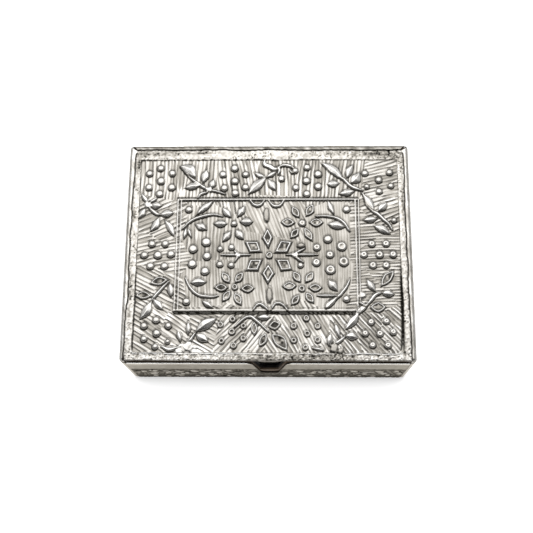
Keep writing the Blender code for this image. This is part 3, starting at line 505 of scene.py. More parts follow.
def makeLidRelief():
    sheet = Relief((-halfX, -49.5), (halfX, halfY))
    x, y = sheet.gridX, sheet.gridY
    waver = 0.5 * (noise(x / 7, y / 7, 5) - 0.5) + 0.25 * (noise(x / 1.6, y / 1.6, 6) - 0.5)
    lean = 1.1 * smoothStep(-22, -40, y) * (x > 0)
    inField = np.minimum(np.minimum(x - lid["fieldLeft"], lid["fieldRight"] - lean - x),
                         np.minimum(lid["fieldRear"] - y, y - lid["fieldFront"])) + waver
    inside = smoothStep(-0.25, 0.35, inField)

    # plain border: dimpled and rubbed, pitted here and there
    dimples = 0.7 * noise(x / 1.3, y / 1.3, 11) + noise(x / 0.6, y / 0.6, 12)
    pits = smoothStep(0.66, 0.88, noise(x / 0.42, y / 0.42, 13))
    pits = pits * smoothStep(0.25, 0.7, noise(x / 3, y / 3, 17))
    sheet.height += lid["dimple"] * (dimples - 0.85) - lid["pit"] * pits
    specks = (noise(x / 0.28, y / 0.28, 18) - 0.5) * smoothStep(-38, -41, y)
    sheet.height += lid["speck"] * specks
    sheet.tone += lid["borderTone"] + 0.26 * (dimples - 0.85) - 0.50 * pits + 0.5 * specks

    # sunk field with its tool strokes
    strokes = strokeField(x, y, lidStrokes, 20)
    ground = -lid["fieldDepth"] + lid["hatchHeight"] * strokes
    sheet.height += inside * (ground - sheet.height)
    cloud = noise(x / 6, y / 6, 15) + 0.5 * noise(x / 2, y / 2, 16) - 0.75
    rubbed = sum(amount * np.exp(-((x - cx) / wide) ** 2 - ((y - cy) / tall) ** 2)
                 for cx, cy, wide, tall, amount in rubbedPatches)
    fieldTone = lid["fieldTone"] + lid["strokeTone"] * strokes + lid["cloudTone"] * cloud + rubbed
    sheet.tone += inside * (fieldTone - sheet.tone)

    for cx, cy, wide, tall, amount in tarnish:
        spot = np.exp(-((x - cx) / wide) ** 2 - ((y - cy) / tall) ** 2)
        sheet.tone -= amount * spot * (0.3 + 1.4 * noise(x / 0.6, y / 0.45, 14))

    # dark line round the field: dashes along the rear, a scored line low on both sides, none at the front
    dashes = smoothStep(0.35, 0.6, noise(x / 0.7, y / 3, 8))
    rearSide = smoothStep(lid["fieldRear"] - 1.5, lid["fieldRear"] - 0.5, y)
    frontSide = smoothStep(lid["fieldFront"] + 1.5, lid["fieldFront"] + 0.5, y)
    sides = 0.15 + 0.85 * smoothStep(-4, -13, y)
    strength = rearSide * (0.25 + 0.75 * dashes * (1 - 0.7 * smoothStep(4, 12, x))) + (1 - rearSide) * sides
    cut = np.exp(-(inField / 0.26) ** 2) * strength * (1 - frontSide)
    sheet.height -= lid["score"] * cut
    sheet.tone -= lid["scoreTone"] * cut

    ridge = np.exp(-((inField + 0.25) / 0.30) ** 2) * frontSide
    sheet.height += lid["ridge"] * ridge
    sheet.tone += lid["ridgeTone"] * ridge

    # frame round the panel: light bars, scored below the front bar and above the rear one
    for start, end, width in frameBars:
        line = [np.array(start), np.array(end)]
        sheet.emboss([start, end], width, lambda x, y: insideStroke(x, y, line, width), motifStyles["bar"],
                     -lid["fieldDepth"])
    for x0, x1, level, wide, dark, broken in frameScores:
        run = smoothStep(x0 - 0.2, x0 + 0.2, x) * smoothStep(x1 + 0.2, x1 - 0.2, x)
        gaps = 1 - broken * smoothStep(0.55, 0.35, noise(x / 0.7, 0 * x + level, 9))
        score = np.exp(-((y - level - 0.12 * noise(x / 5, 0 * x, 10)) / wide) ** 2) * run * gaps
        sheet.height -= lid["score"] * score
        sheet.tone -= dark * score

    stampMotifs(sheet, -lid["fieldDepth"], lidDots, lidLeaves, lidStems, lidSunkLeaves, lidPetals, lidRhombs,
                lidOvals, lidBlobs)
    sheet.finish(0.06, 0.32, 0.42)
    low, high = round(sheet.height.min(), 2), round(sheet.height.max(), 2)
    print("lid relief:", sheet.height.shape, "from", low, "to", high)
    return sheet


# Closed sheets from a grid of points: a relief side, its rim and a plain back

def gridSheet(name, face, back, rects, tone, backTone=0.25):
    rows, cols = face.shape[:2]
    cell = np.zeros((rows - 1, cols - 1), bool)
    corner = np.zeros((rows, cols), bool)
    for i0, i1, j0, j1 in rects:
        cell[j0:j1, i0:i1] = True
        corner[[j0, j0, j1, j1], [i0, i1, i0, i1]] = True
    ring = np.pad(cell, 1).astype(int)
    around = ring[:-1, :-1] + ring[1:, :-1] + ring[:-1, 1:] + ring[1:, 1:]
    used = around > 0
    below = used & ((around < 4) | corner)
    top = np.full((rows, cols), -1)
    top[used] = np.arange(used.sum())
    under = np.full((rows, cols), -1)
    under[below] = used.sum() + np.arange(below.sum())

    j, i = np.nonzero(cell)
    faces = np.stack([top[j, i], top[j, i + 1], top[j + 1, i + 1], top[j + 1, i]], 1).tolist()
    smoothCount = len(faces)
    above, beneath = np.pad(cell, ((0, 1), (0, 0))), np.pad(cell, ((1, 0), (0, 0)))
    right, left = np.pad(cell, ((0, 0), (0, 1))), np.pad(cell, ((0, 0), (1, 0)))
    for edge, jStep, iStep, forward in ((above & ~beneath, 0, 1, False), (beneath & ~above, 0, 1, True),
                                        (right & ~left, 1, 0, True), (left & ~right, 1, 0, False)):
        j, i = np.nonzero(edge)
        j2, i2 = j + jStep, i + iStep
        if not forward:
            j, j2, i, i2 = j2, j, i2, i
        faces += np.stack([top[j, i], top[j2, i2], under[j2, i2], under[j, i]], 1).tolist()

    centres = []
    for i0, i1, j0, j1 in rects:
        loop = [(j0, i) for i in range(i0, i1)] + [(j, i1) for j in range(j0, j1)]
        loop += [(j1, i) for i in range(i1, i0, -1)] + [(j, i0) for j in range(j1, j0, -1)]
        loop = [under[spot] for spot in loop if below[spot]]
        centre = used.sum() + below.sum() + len(centres)
        centres.append((back[j0, i0] + back[j0, i1] + back[j1, i0] + back[j1, i1]) / 4)
        faces += [[centre, second, first] for first, second in zip(loop, loop[1:] + loop[:1])]

    points = np.concatenate([face[used], back[below], np.array(centres)]) * mm
    tones = np.concatenate([tone[used], np.full(below.sum() + len(centres), backTone)])
    mesh = bpy.data.meshes.new(name)
    mesh.from_pydata(points.tolist(), [], faces)
    mesh.attributes.new("tone", "FLOAT", "POINT").data.foreach_set("value", tones.astype(np.float32))
    mesh.polygons.foreach_set("use_smooth", [index < smoothCount for index in range(len(faces))])
    mesh.update()
    return mesh


def joinMeshes(name, meshes):
    # several closed shells in one piece, with their tones
    points, faces, tones, smooth = [], [], [], []
    for mesh in meshes:
        start = len(points)
        points += [tuple(v.co) for v in mesh.vertices]
        faces += [[start + v for v in polygon.vertices] for polygon in mesh.polygons]
        smooth += [polygon.use_smooth for polygon in mesh.polygons]
        tones += [item.value for item in mesh.attributes["tone"].data]
    joined = bpy.data.meshes.new(name)
    joined.from_pydata(points, [], faces)
    joined.attributes.new("tone", "FLOAT", "POINT").data.foreach_set("value", tones)
    joined.polygons.foreach_set("use_smooth", smooth)
    joined.update()
    return joined


def addObject(name, data):
    made = bpy.data.objects.new(name, data)
    bpy.context.scene.collection.objects.link(made)
    return made


def addPiece(name, mesh, material, body, replaced):
    piece = addObject(name, mesh)
    mesh.materials.clear()
    mesh.materials.append(material)
    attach(piece, body)
    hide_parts(*replaced)
    return piece


def steps(breaks, spacing):
    # coordinates through all the breaks at about one spacing, and where the breaks ended up
    line, places = [breaks[0]], [0]
    for start, end in zip(breaks, breaks[1:]):
        count = max(1, round((end - start) / spacing))
        line += [start + (end - start) * (k + 1) / count for k in range(count)]
        places.append(len(line) - 1)
    return np.array(line), places


# Materials

def newMaterial(name):
    material = bpy.data.materials.new(name)
    material.use_nodes = True
    return material, material.node_tree, material.node_tree.nodes["Principled BSDF"]


def feed(tree, made, inputs):
    # each input takes a plain value or the socket that drives it
    for label, value in inputs.items():
        if hasattr(value, "is_output"):
            tree.links.new(value, made.inputs[label])
        else:
            made.inputs[label].default_value = value


def node(tree, kind, inputs=None, **settings):
    made = tree.nodes.new(kind)
    for key, value in settings.items():
        setattr(made, key, value)
    feed(tree, made, inputs or {})
    return made


def maths(tree, operation, *sources):
    return node(tree, "ShaderNodeMath", dict(enumerate(sources)), operation=operation).outputs[0]


def vectorMath(tree, operation, *sources, **named):
    inputs = {**dict(enumerate(sources)), **named}
    return node(tree, "ShaderNodeVectorMath", inputs, operation=operation).outputs[0]


def lengthOf(tree, vector):
    return node(tree, "ShaderNodeVectorMath", {0: vector}, operation="LENGTH").outputs["Value"]


def mapRange(tree, value, toMin, toMax, fromMin=0.0, fromMax=1.0, interpolation="LINEAR"):
    inputs = {"Value": value, "From Min": fromMin, "From Max": fromMax, "To Min": toMin, "To Max": toMax}
    return node(tree, "ShaderNodeMapRange", inputs, interpolation_type=interpolation).outputs["Result"]


def ramp(tree, driver, stops):
    made = node(tree, "ShaderNodeValToRGB", {"Fac": driver})
    elements = made.color_ramp.elements
    while len(elements) < len(stops):
        elements.new(0.5)
    for element, (place, colour) in zip(elements, stops):
        element.position = place
        element.color = (*colour, 1)
    return made.outputs["Color"]


def newGroup(name, kind, inputs, outputs):
    # the group, the sockets that feed it and the node that takes its results
    group = bpy.data.node_groups.new(name, kind)
    for label, socketKind, value in inputs:
        socket = group.interface.new_socket(label, in_out="INPUT", socket_type="NodeSocket" + socketKind)
        if value is not None:
            socket.default_value = value
    for label, socketKind in outputs:
        group.interface.new_socket(label, in_out="OUTPUT", socket_type="NodeSocket" + socketKind)
    return group, group.nodes.new("NodeGroupInput").outputs, group.nodes.new("NodeGroupOutput")


# How rough each kind of surface is from dull to bright, with the strength and depth of its bump
surfaces = {
    "silver": {"rough": (0.55, 0.20), "bump": 0.35, "depth": 0.00003},
    "plainMetal": {"rough": (0.18, -0.06), "bump": 0.3, "depth": 0.00002},
    "wood": {"rough": (0.8, 0.55), "bump": 0.5, "depth": 0.00006},
    "cloth": {"rough": (0.95, 0.75), "bump": 0.8, "depth": 0.00012},
}


def coat(tree, shader, kind, colour, height, rough):
    look = surfaces[kind]
    bump = node(tree, "ShaderNodeBump",
                {"Height": height, "Strength": look["bump"], "Distance": look["depth"]})
    feed(tree, shader, {"Base Color": colour, "Roughness": rough, "Normal": bump.outputs["Normal"]})


def makePittedMetalGroup():
    # fine scratches and pits that every metal on the box shares
    group, given, out = newGroup("pittedMetal", "ShaderNodeTree",
                                 [("Fine Scale", "Float", 2600.0), ("Cloud Scale", "Float", 120.0)],
                                 [("Pits", "Float"), ("Clouds", "Float")])
    place = node(group, "ShaderNodeTexCoord").outputs["Object"]
    fine = node(group, "ShaderNodeTexNoise", {"Vector": place, "Scale": given["Fine Scale"], "Detail": 3})
    cloud = node(group, "ShaderNodeTexNoise",
                 {"Vector": place, "Scale": given["Cloud Scale"], "Detail": 4, "Roughness": 0.6})
    feed(group, out, {"Pits": fine.outputs["Fac"], "Clouds": cloud.outputs["Fac"]})
    return group


pittedMetal = makePittedMetalGroup()


silverTones = [(0.0, (0.010, 0.009, 0.007)), (0.25, (0.058, 0.055, 0.049)), (0.50, (0.203, 0.190, 0.167)),
               (0.75, (0.365, 0.350, 0.325)), (1.0, (0.48, 0.475, 0.462))]


def makeSilver(name, edgeTint):
    material, tree, shader = newMaterial(name)
    tone = node(tree, "ShaderNodeAttribute", attribute_name="tone").outputs["Fac"]
    pits = node(tree, "ShaderNodeGroup", node_tree=pittedMetal).outputs
    total = maths(tree, "ADD", maths(tree, "MULTIPLY_ADD", pits["Clouds"], 0.22, -0.11), tone)
    rough = mapRange(tree, total, *surfaces["silver"]["rough"], 0.1, 0.95)
    coat(tree, shader, "silver", ramp(tree, total, silverTones), pits["Pits"], rough)
    feed(tree, shader, {"Metallic": 1.0, "Specular Tint": (*edgeTint, 1)})
    return material


def makePlainMetal(name, dark, light, roughness):
    material, tree, shader = newMaterial(name)
    pits = node(tree, "ShaderNodeGroup", {"Cloud Scale": 420}, node_tree=pittedMetal).outputs
    dull, bright = surfaces["plainMetal"]["rough"]
    rough = mapRange(tree, pits["Clouds"], roughness + dull, roughness + bright)
    colour = ramp(tree, pits["Clouds"], [(0.3, dark), (0.62, light)])
    coat(tree, shader, "plainMetal", colour, pits["Pits"], rough)
    feed(tree, shader, {"Metallic": 1.0})
    return material


def makeWoodGrainGroup():
    # long streaks and pores along local X
    group, given, out = newGroup("woodGrain", "ShaderNodeTree", [("Vector", "Vector", None)],
                                 [("Streaks", "Float"), ("Pores", "Float")])
    for label, stretch, scale in (("Streaks", (0.05, 1, 1), 900), ("Pores", (0.03, 1, 1), 3800)):
        mapping = node(group, "ShaderNodeMapping", {"Vector": given["Vector"], "Scale": stretch})
        grain = node(group, "ShaderNodeTexNoise",
                     {"Vector": mapping.outputs["Vector"], "Scale": scale, "Detail": 4})
        feed(group, out, {label: grain.outputs["Fac"]})
    return group


woodGrain = makeWoodGrainGroup()


def makeWood(name, quarterTurn, dark, light, paintedShade=None):
    material, tree, shader = newMaterial(name)
    place = node(tree, "ShaderNodeTexCoord").outputs["Object"]
    turn = node(tree, "ShaderNodeMapping",
                {"Vector": place, "Rotation": (0, 0, math.pi / 2 if quarterTurn else 0)})
    grain = node(tree, "ShaderNodeGroup", {"Vector": turn.outputs["Vector"]}, node_tree=woodGrain).outputs
    colour = ramp(tree, grain["Streaks"], [(0.32, dark), (0.66, light)])
    if paintedShade:
        # painted shade: black from the outer face inwards, below the wall's top edge, where the notch lies in
        # deep shade
        parts = node(tree, "ShaderNodeSeparateXYZ", {0: place}).outputs
        inward = mapRange(tree, parts["Y"], 0, 1, *paintedShade["inward"], "SMOOTHSTEP")
        under = mapRange(tree, parts["Z"], 0, 1, *paintedShade["under"], "SMOOTHSTEP")
        inputs = {"Factor": maths(tree, "MULTIPLY", inward, under), "A": colour, "B": paintedShade["colour"]}
        colour = node(tree, "ShaderNodeMix", inputs, data_type="RGBA").outputs["Result"]
    rough = mapRange(tree, grain["Pores"], *surfaces["wood"]["rough"])
    coat(tree, shader, "wood", colour, grain["Pores"], rough)
    return material


def makeNapGroup():
    # soft pile that lies over in patches
    group, given, out = newGroup("nap", "ShaderNodeTree",
                                 [("Pile Scale", "Float", 2400.0), ("Patch Scale", "Float", 90.0)],
                                 [("Pile", "Float"), ("Patches", "Float")])
    place = node(group, "ShaderNodeTexCoord").outputs["Object"]
    for label, size, detail in (("Pile", "Pile Scale", 2), ("Patches", "Patch Scale", 3)):
        texture = node(group, "ShaderNodeTexNoise", {"Vector": place, "Scale": given[size], "Detail": detail})
        feed(group, out, {label: texture.outputs["Fac"]})
    return group


napGroup = makeNapGroup()


def makeCloth(name, dark, light, sheen, pileScale):
    material, tree, shader = newMaterial(name)
    nap = node(tree, "ShaderNodeGroup", {"Pile Scale": pileScale}, node_tree=napGroup).outputs
    colour = ramp(tree, nap["Patches"], [(0.35, dark), (0.7, light)])
    rough = mapRange(tree, nap["Patches"], *surfaces["cloth"]["rough"])
    coat(tree, shader, "cloth", colour, nap["Pile"], rough)
    feed(tree, shader, {"Sheen Weight": sheen, "Sheen Roughness": 0.35})
    return material


lidSilver = makeSilver("lidSilver", (0.40, 0.39, 0.37))
caseSilver = makeSilver("caseSilver", (0.80, 0.76, 0.69))
hingeBrass = makePlainMetal("hingeBrass", (0.09, 0.065, 0.030), (0.36, 0.265, 0.125), 0.40)
nailSteel = makePlainMetal("nailSteel", (0.13, 0.12, 0.11), (0.46, 0.45, 0.43), 0.36)
lidWood = makeWood("lidWood", False, (0.012, 0.008, 0.005), (0.060, 0.036, 0.019))
caseTones = ((0.085, 0.056, 0.033), (0.29, 0.205, 0.130))
caseWoodAcross = makeWood("caseWoodAcross", False, *caseTones)
caseWoodDeep = makeWood("caseWoodDeep", True, *caseTones)
wallFace = boxMm("front_wall")[0][1]
# the front wall's wood is painted black inside the notch, as painted shade
notchWood = makeWood("notchWood", False, (0.045, 0.030, 0.018), (0.20, 0.140, 0.088), {
    "inward": ((wallFace + 0.25) * mm, (wallFace + 1.0) * mm),
    "under": ((caseTop - 0.4) * mm, (caseTop - 1.2) * mm),
    "colour": (0.004, 0.003, 0.002, 1)})
blackVelvet = makeCloth("blackVelvet", (0.004, 0.004, 0.005), (0.014, 0.013, 0.015), 0.35, 2600)
darkFelt = makeCloth("darkFelt", (0.020, 0.018, 0.017), (0.060, 0.055, 0.050), 0.2, 1700)
print("materials made")


# Lid plate: panel, field and border share one grid

lidRelief = makeLidRelief()


def seamWave(along, seed):
    # hand-cut foil edge
    slow, quick = noise(along / 6, 0 * along, seed), noise(along / 1.3, 0 * along, seed + 1)
    return 0.45 * (slow - 0.5) + 0.22 * (quick - 0.5)


def leftSeam(y):
    lean = 0.5 * smoothStep(10, 40, y) - 0.5 * smoothStep(-10, -40, y)
    return -halfX + lid["bandWidth"] + 0.25 + lean + seamWave(y, 41)


def rightSeam(y):
    return halfX - lid["bandWidth"] - 0.25 + 0.2 * smoothStep(0, -40, y) + seamWave(y, 43)


def rearSeam(x):
    return halfY - lid["rearBandWidth"] + seamWave(x, 45)


def addLidPlate():
    breaksX = [-halfX + lid["bandWidth"], lid["fieldLeft"], lid["panelLeft"], lid["panelRight"],
               lid["fieldRight"], halfX - lid["bandWidth"]]
    breaksY = [lid["fieldFront"], lid["panelFront"], lid["panelRear"], lid["fieldRear"],
               halfY - lid["rearBandWidth"]]
    xs, i = steps(breaksX, lid["spacing"])
    ys, j = steps(breaksY, lid["spacing"])
    x, y = np.meshgrid(xs, ys)
    # outer columns and rows slide to the hand-cut seams
    outLeft = smoothStep(lid["fieldLeft"], breaksX[0], x)
    outRight = smoothStep(lid["fieldRight"], breaksX[-1], x)
    outRear = smoothStep(lid["fieldRear"], breaksY[-1], y)
    planX = x + outLeft * (leftSeam(y) - breaksX[0]) + outRight * (rightSeam(y) - breaksX[-1])
    planY = y + outRear * (rearSeam(x) - breaksY[-1])
    height = lidRelief.sample(lidRelief.height, planX, planY)
    tone = lidRelief.sample(lidRelief.tone, planX, planY)
    rim = np.minimum(np.minimum(planX - leftSeam(planY), rightSeam(planY) - planX), rearSeam(planX) - planY)
    height = height - 0.10 * np.exp(-(rim / 0.30) ** 2)
    tone = tone - 0.25 * np.exp(-(rim / 0.16) ** 2)
    face = np.stack([planX, planY, lidTop + height], 2)
    back = np.stack([planX, planY, np.full(x.shape, lidTop - lid["sheet"])], 2)
    pieces = {
        "lid_panel_relief": [(i[2], i[3], j[1], j[2])],
        "lid_field_relief": [(i[1], i[4], j[0], j[1]), (i[1], i[2], j[1], j[2]), (i[3], i[4], j[1], j[2]),
                             (i[1], i[4], j[2], j[3])],
        "lid_border": [(i[0], i[1], j[0], j[3]), (i[4], i[5], j[0], j[3]), (i[0], i[5], j[3], j[4])],
    }
    for name, rects in pieces.items():
        mesh = gridSheet(name, face, back, rects, tone)
        addPiece(name, mesh, lidSilver, "lid", ["lid_plate"])


fold = {
    "edgeLevel": 35.15, "inset": 0.48, "radius": 0.32, "sheet": 0.13,
    "lipLevel": 29.7, "lipHalf": 3.9, "lipSlope": 5.0, "lipCentre": 0.6, "lipCalm": 0.75,
    "curl": 0.15, "rows": 34, "spacing": 0.24,
    # gentle waves of the lower edge: x, width, drop
    "waves": [(-47, 9, -0.30), (-33, 3.5, 0.35), (40, 3.0, 0.75), (20, 12, -0.08), (-20, 10, 0.06),
              (51, 3, 0.25)],
}


def foldEdge(x):
    level = np.full(x.shape, fold["edgeLevel"]) + 0.18 * (noise(x / 2.2, 0 * x, 51) - 0.5)
    for place, width, drop in fold["waves"]:
        level -= drop * np.exp(-((x - place) / width) ** 2)
    lip = smoothStep(fold["lipHalf"] + fold["lipSlope"] / 2, fold["lipHalf"] - fold["lipSlope"] / 2,
                     np.abs(x - fold["lipCentre"]))
    return level + lip * (fold["lipLevel"] - level)


def addFrontFold():
    xs = steps([-halfX + lid["bandWidth"], halfX - lid["bandWidth"]], fold["spacing"])[0]
    radius = fold["radius"]
    flat = lid["fieldFront"] - (radius - halfY) - fold["inset"]
    arc = radius * math.pi / 2
    shares = np.linspace(0, 1, fold["rows"] + 1)
    x, share = np.meshgrid(xs, shares)
    edge = foldEdge(x)
    straight = lidTop - radius - edge
    # where the edge stops inside the bend, the sheet is only as long as that
    bend = np.where(straight < 0, np.arcsin(np.clip((edge - lidTop + radius) / radius, -1, 1)), 0)
    length = flat + arc + np.where(straight > 0, straight, -bend * radius)
    s = share * length
    turn = np.clip((s - flat) / radius, 0, math.pi / 2)
    down = np.maximum(s - flat - arc, 0)
    curl = fold["curl"] * smoothStep(1.0, 4.5, down)
    normal = np.stack([0 * x, -np.sin(turn), np.cos(turn)], 2)
    base = np.stack([x, lid["fieldFront"] - np.minimum(s, flat) - radius * np.sin(turn) + curl,
                     lidTop - radius + radius * np.cos(turn) - down], 2)
    sheetY = lid["fieldFront"] - s
    fade = 1 - fold["lipCalm"] * smoothStep(flat, flat + 1.0, s)
    height = lidRelief.sample(lidRelief.height, x, sheetY) * fade
    tone = lidRelief.sample(lidRelief.tone, x, sheetY)
    # the lip is painted black towards its end, as painted shade where it hangs into the notch
    tone = tone - 1.0 * smoothStep(0.45, 0.72, down / np.maximum(straight, 2.0))
    seamX = np.minimum(x - xs[0], xs[-1] - x)
    height = height - 0.08 * np.exp(-(seamX / 0.3) ** 2)
    slide = smoothStep(1.0, 0.0, seamX) * (1 - smoothStep(0, flat, s))
    base[..., 0] += np.where(x < 0, leftSeam(lid["fieldFront"] + 0 * x) - xs[0],
                             rightSeam(lid["fieldFront"] + 0 * x) - xs[-1]) * slide
    face = base + normal * height[..., None]
    back = base - normal * (lid["sheet"] + (fold["sheet"] - lid["sheet"]) * smoothStep(0, flat, s))[..., None]
    rects = [(0, len(xs) - 1, row, row + 1) for row in range(fold["rows"])]
    # rows run towards the front, so the grid is turned over to face outwards
    mesh = gridSheet("lid_front_fold", face[::-1], back[::-1], rects, tone[::-1])
    addPiece("lid_front_fold", mesh, lidSilver, "lid", ["lid_plate"])


addLidPlate()
addFrontFold()
print("lid plate made")


# Edge strips of the lid: points on a box, drawn onto its rounded edges

def roundedPoints(x, y, z, radius):
    core = np.stack([np.clip(x, -halfX + radius, halfX - radius), np.clip(y, -halfY + radius, halfY - radius),
                     np.minimum(z, lidTop - radius)], -1)
    out = np.stack([x, y, z], -1) - core
    normal = out / np.maximum(np.linalg.norm(out, axis=-1, keepdims=True), 1e-9)
    return core + normal * radius, normal


def bandSheet(name, x, y, z, edgeTone, seed, flip, proud=-0.04):
    base, normal = roundedPoints(x, y, z, lid["edgeRadius"])
    along = x + y
    fineCrumple = noise(along / 0.8, z / 0.7 + x, seed + 1)
    crumple = noise(along / 2.6, z / 1.4 + x / 2, seed) + 0.5 * fineCrumple - 0.75
    face = base + normal * (0.09 * crumple + proud)[..., None]
    back = base - normal * lid["sheet"]
    tone = 0.78 + 0.32 * crumple - edgeTone
    if flip:
        face, back, tone = face[::-1], back[::-1], tone[::-1]
    rows, cols = tone.shape
    rects = [(0, cols - 1, row, row + 1) for row in range(rows - 1)]
    return gridSheet(name, face, back, rects, tone)


band = {"spacing": 0.24, "topRows": 9, "sideRows": 10, "foot": 33.35, "rearCorner": 1.45, "rearColumns": 440}


def footLevel(along, seed):
    return band["foot"] + 0.22 * (noise(along / 4, 0 * along, seed) - 0.5)


def stripShares():
    # from 0 at the seam to 1 at the top's edge and 2 at the foot
    top = np.linspace(0, 1, band["topRows"] + 1)
    return np.concatenate([top, 1 + np.linspace(0, 1, band["sideRows"] + 1)[1:]])


def addSideBand(label, side):
    gap = lid["seam"]
    seamAt = leftSeam if side < 0 else rightSeam
    ys = steps([-halfY, halfY], band["spacing"])[0]
    y, share = np.meshgrid(ys, stripShares())
    seam = seamAt(np.minimum(y, rearSeam(np.array(side * 52.0)))) + side * gap
    mitre = smoothStep(halfY - 2.6, halfY - 0.3, y)
    seam = seam + side * band["rearCorner"] * mitre - side * 0.9 * np.exp(-((y - (halfY - 2.6)) / 0.7) ** 2)
    x = np.where(share < 1, seam + (side * halfX - seam) * share, side * halfX)
    foot = footLevel(y, 61 + side)
    z = np.where(share < 1, lidTop, lidTop + (foot - lidTop) * (share - 1))
    edge = 0.35 * np.exp(-(share / 0.12) ** 2) + 0.25 * smoothStep(1.8, 2.0, share)
    meshes = [bandSheet("top", x, y, z, edge, 63, side > 0)]
    for end in (-1, 1):
        reach = side * (halfX - lid["bandWidth"] - 0.05) if end < 0 else side * (halfX - 1.2)
        xs = steps(sorted([side * halfX, reach]), band["spacing"])[0]
        tx, share = np.meshgrid(xs, np.linspace(0, 1, band["sideRows"] + 1))
        tz = lidTop + (footLevel(tx, 62) - lidTop) * share
        meshes.append(bandSheet("tab", tx, np.full(tx.shape, end * halfY), tz, 0.1 * share, 65, end < 0))
    name = "lid_edge_strip_" + label
    addPiece(name, joinMeshes(name, meshes), lidSilver, "lid", ["lid_band_" + label])


def addRearBand():
    gap = lid["seam"]
    along, share = np.meshgrid(np.linspace(-1, 1, band["rearColumns"]), stripShares())
    innerEnd = halfX - lid["bandWidth"] - 1.2
    outerEnd = halfX - 1.2 - gap
    end = innerEnd + (outerEnd - innerEnd) * np.minimum(share, 1)
    x = along * end
    seam = rearSeam(x) + gap
    y = np.where(share < 1, seam + (halfY - seam) * share, halfY)
    foot = footLevel(x, 67)
    z = np.where(share < 1, lidTop, lidTop + (foot - lidTop) * (share - 1))
    edge = 0.35 * np.exp(-(share / 0.12) ** 2) + 0.25 * smoothStep(1.8, 2.0, share) + 0.24
    mesh = bandSheet("lid_edge_strip_rear", x, y, z, edge, 69, False, 0.06)
    addPiece("lid_edge_strip_rear", mesh, lidSilver, "lid", ["lid_band_rear"])


addSideBand("left", -1)
addSideBand("right", 1)
addRearBand()
print("edge strips made")


# Claddings of the case

cladding = {
    "spacing": 0.26, "sheet": 0.35, "edgeBand": 1.5, "bandTop": 20.4, "depth": 0.16,
    "hatch": 0.13, "corner": 1.5, "returnWidth": 1.9, "frontProud": 0.2, "frontDrop": 0.3, "rearRise": 0.38,
    "leafGap": 0.3, "dimple": 0.05, "score": 0.12, "punch": 0.10,
    "plainTone": 0.03, "edgeTone": 0.38, "strokeTone": 0.40, "scoreTone": 0.5, "punchTone": 0.34,
    "dulling": 0.45, "dullFrom": 0.35, "footShadeHeight": 8,
    # painted shade at the foot and tone of the sunk ground, for the front and for the sheets out of sight
    "front": (0.55, 0.07), "hidden": (0.12, 0.20),
}

frontDots = [
    (-51, 14.6), (-48.4, 16.0), (-39.2, 13.2), (-33.9, 10.4), (-31.7, 12.4), (-26, 11.5), (-22.7, 11.5),
    (-19.2, 14.3), (-12.1, 14.0), (-5.6, 12.4), (13.2, 11.8), (17.5, 13.2), (20.5, 14.6), (27.4, 13.8),
    (29.9, 14.3), (34.2, 11.8), (37.7, 11.0), (51.2, 12.4), (-45.0, 7.0), (-40.0, 5.2), (-28.5, 6.0),
    (-15.5, 6.6), (-9.5, 5.0), (8.6, 6.4), (23.8, 6.0), (31.0, 5.4), (41.5, 6.2), (47.0, 8.4),
]
frontLeaves = [
    (-46.5, 18.5, -42.0, 14.5, 2.4, 0.3), (-43.0, 12.5, -47.0, 9.5, 2.2, 0),
    (-36.5, 17.5, -33.0, 13.5, 2.2, 0), (-37.5, 9.0, -33.5, 5.0, 2.2, 0.2),
    (-30.5, 18.0, -27.0, 15.0, 2.0, 0), (-24.5, 6.5, -20.0, 9.0, 2.4, 0),
    (-17.0, 18.5, -13.5, 16.5, 2.0, 0), (-19.5, 4.0, -15.8, 2.8, 1.8, 0), (-8.5, 9.5, -4.5, 7.0, 2.2, 0),
    (-2.5, 4.5, 2.0, 4.5, 2.4, 0), (4.5, 10.5, 7.8, 13.8, 2.0, 0), (10.5, 17.5, 13.8, 15.2, 2.0, 0),
    (14.5, 7.5, 18.5, 4.5, 2.3, 0.2), (22.0, 18.5, 25.0, 16.5, 1.9, 0), (24.5, 10.0, 28.5, 9.0, 2.2, 0),
    (31.5, 17.5, 35.0, 15.0, 2.1, 0), (34.5, 7.5, 38.5, 5.0, 2.2, 0), (41.0, 17.5, 45.0, 13.5, 2.5, 0.3),
    (43.0, 11.0, 47.0, 12.8, 2.0, 0), (48.5, 18.0, 50.8, 15.2, 1.7, 0),
]
frontStems = [
    (0.8, [(-49.5, 9.5), (-45.0, 13.0), (-40.0, 17.0), (-36.0, 12.0), (-32.0, 8.0)]), (0.8, [(-29.0, 9.0),
    (-25.0, 14.5), (-20.0, 17.5), (-15.5, 12.0), (-11.0, 9.0)]), (0.8, [(9.5, 9.0), (15.0, 10.5),
    (19.0, 17.0), (24.0, 13.5), (29.0, 11.5)]), (0.8, [(32.5, 9.0), (37.0, 14.0), (41.5, 15.0),
    (45.0, 9.5), (50.0, 6.5)]),
]


sprig = {
    "spacing": 12.5, "level": 10.8, "dotRadius": 1.25, "side": 3.6, "rise": 2.3,
    "stem": [(-5.5, 10.8 + 5), (-2, 10.0), (2, 11.6), (5.5, 10.8 - 5)],
    "leaves": [(-3.0, 10.6, -5.2, 15.6, 2.2), (-0.5, 11.5, 1.0, 16.8, 2.3), (1.0, 10.0, -0.8, 4.8, 2.3),
               (3.2, 11.0, 5.4, 6.0, 2.2)],
}


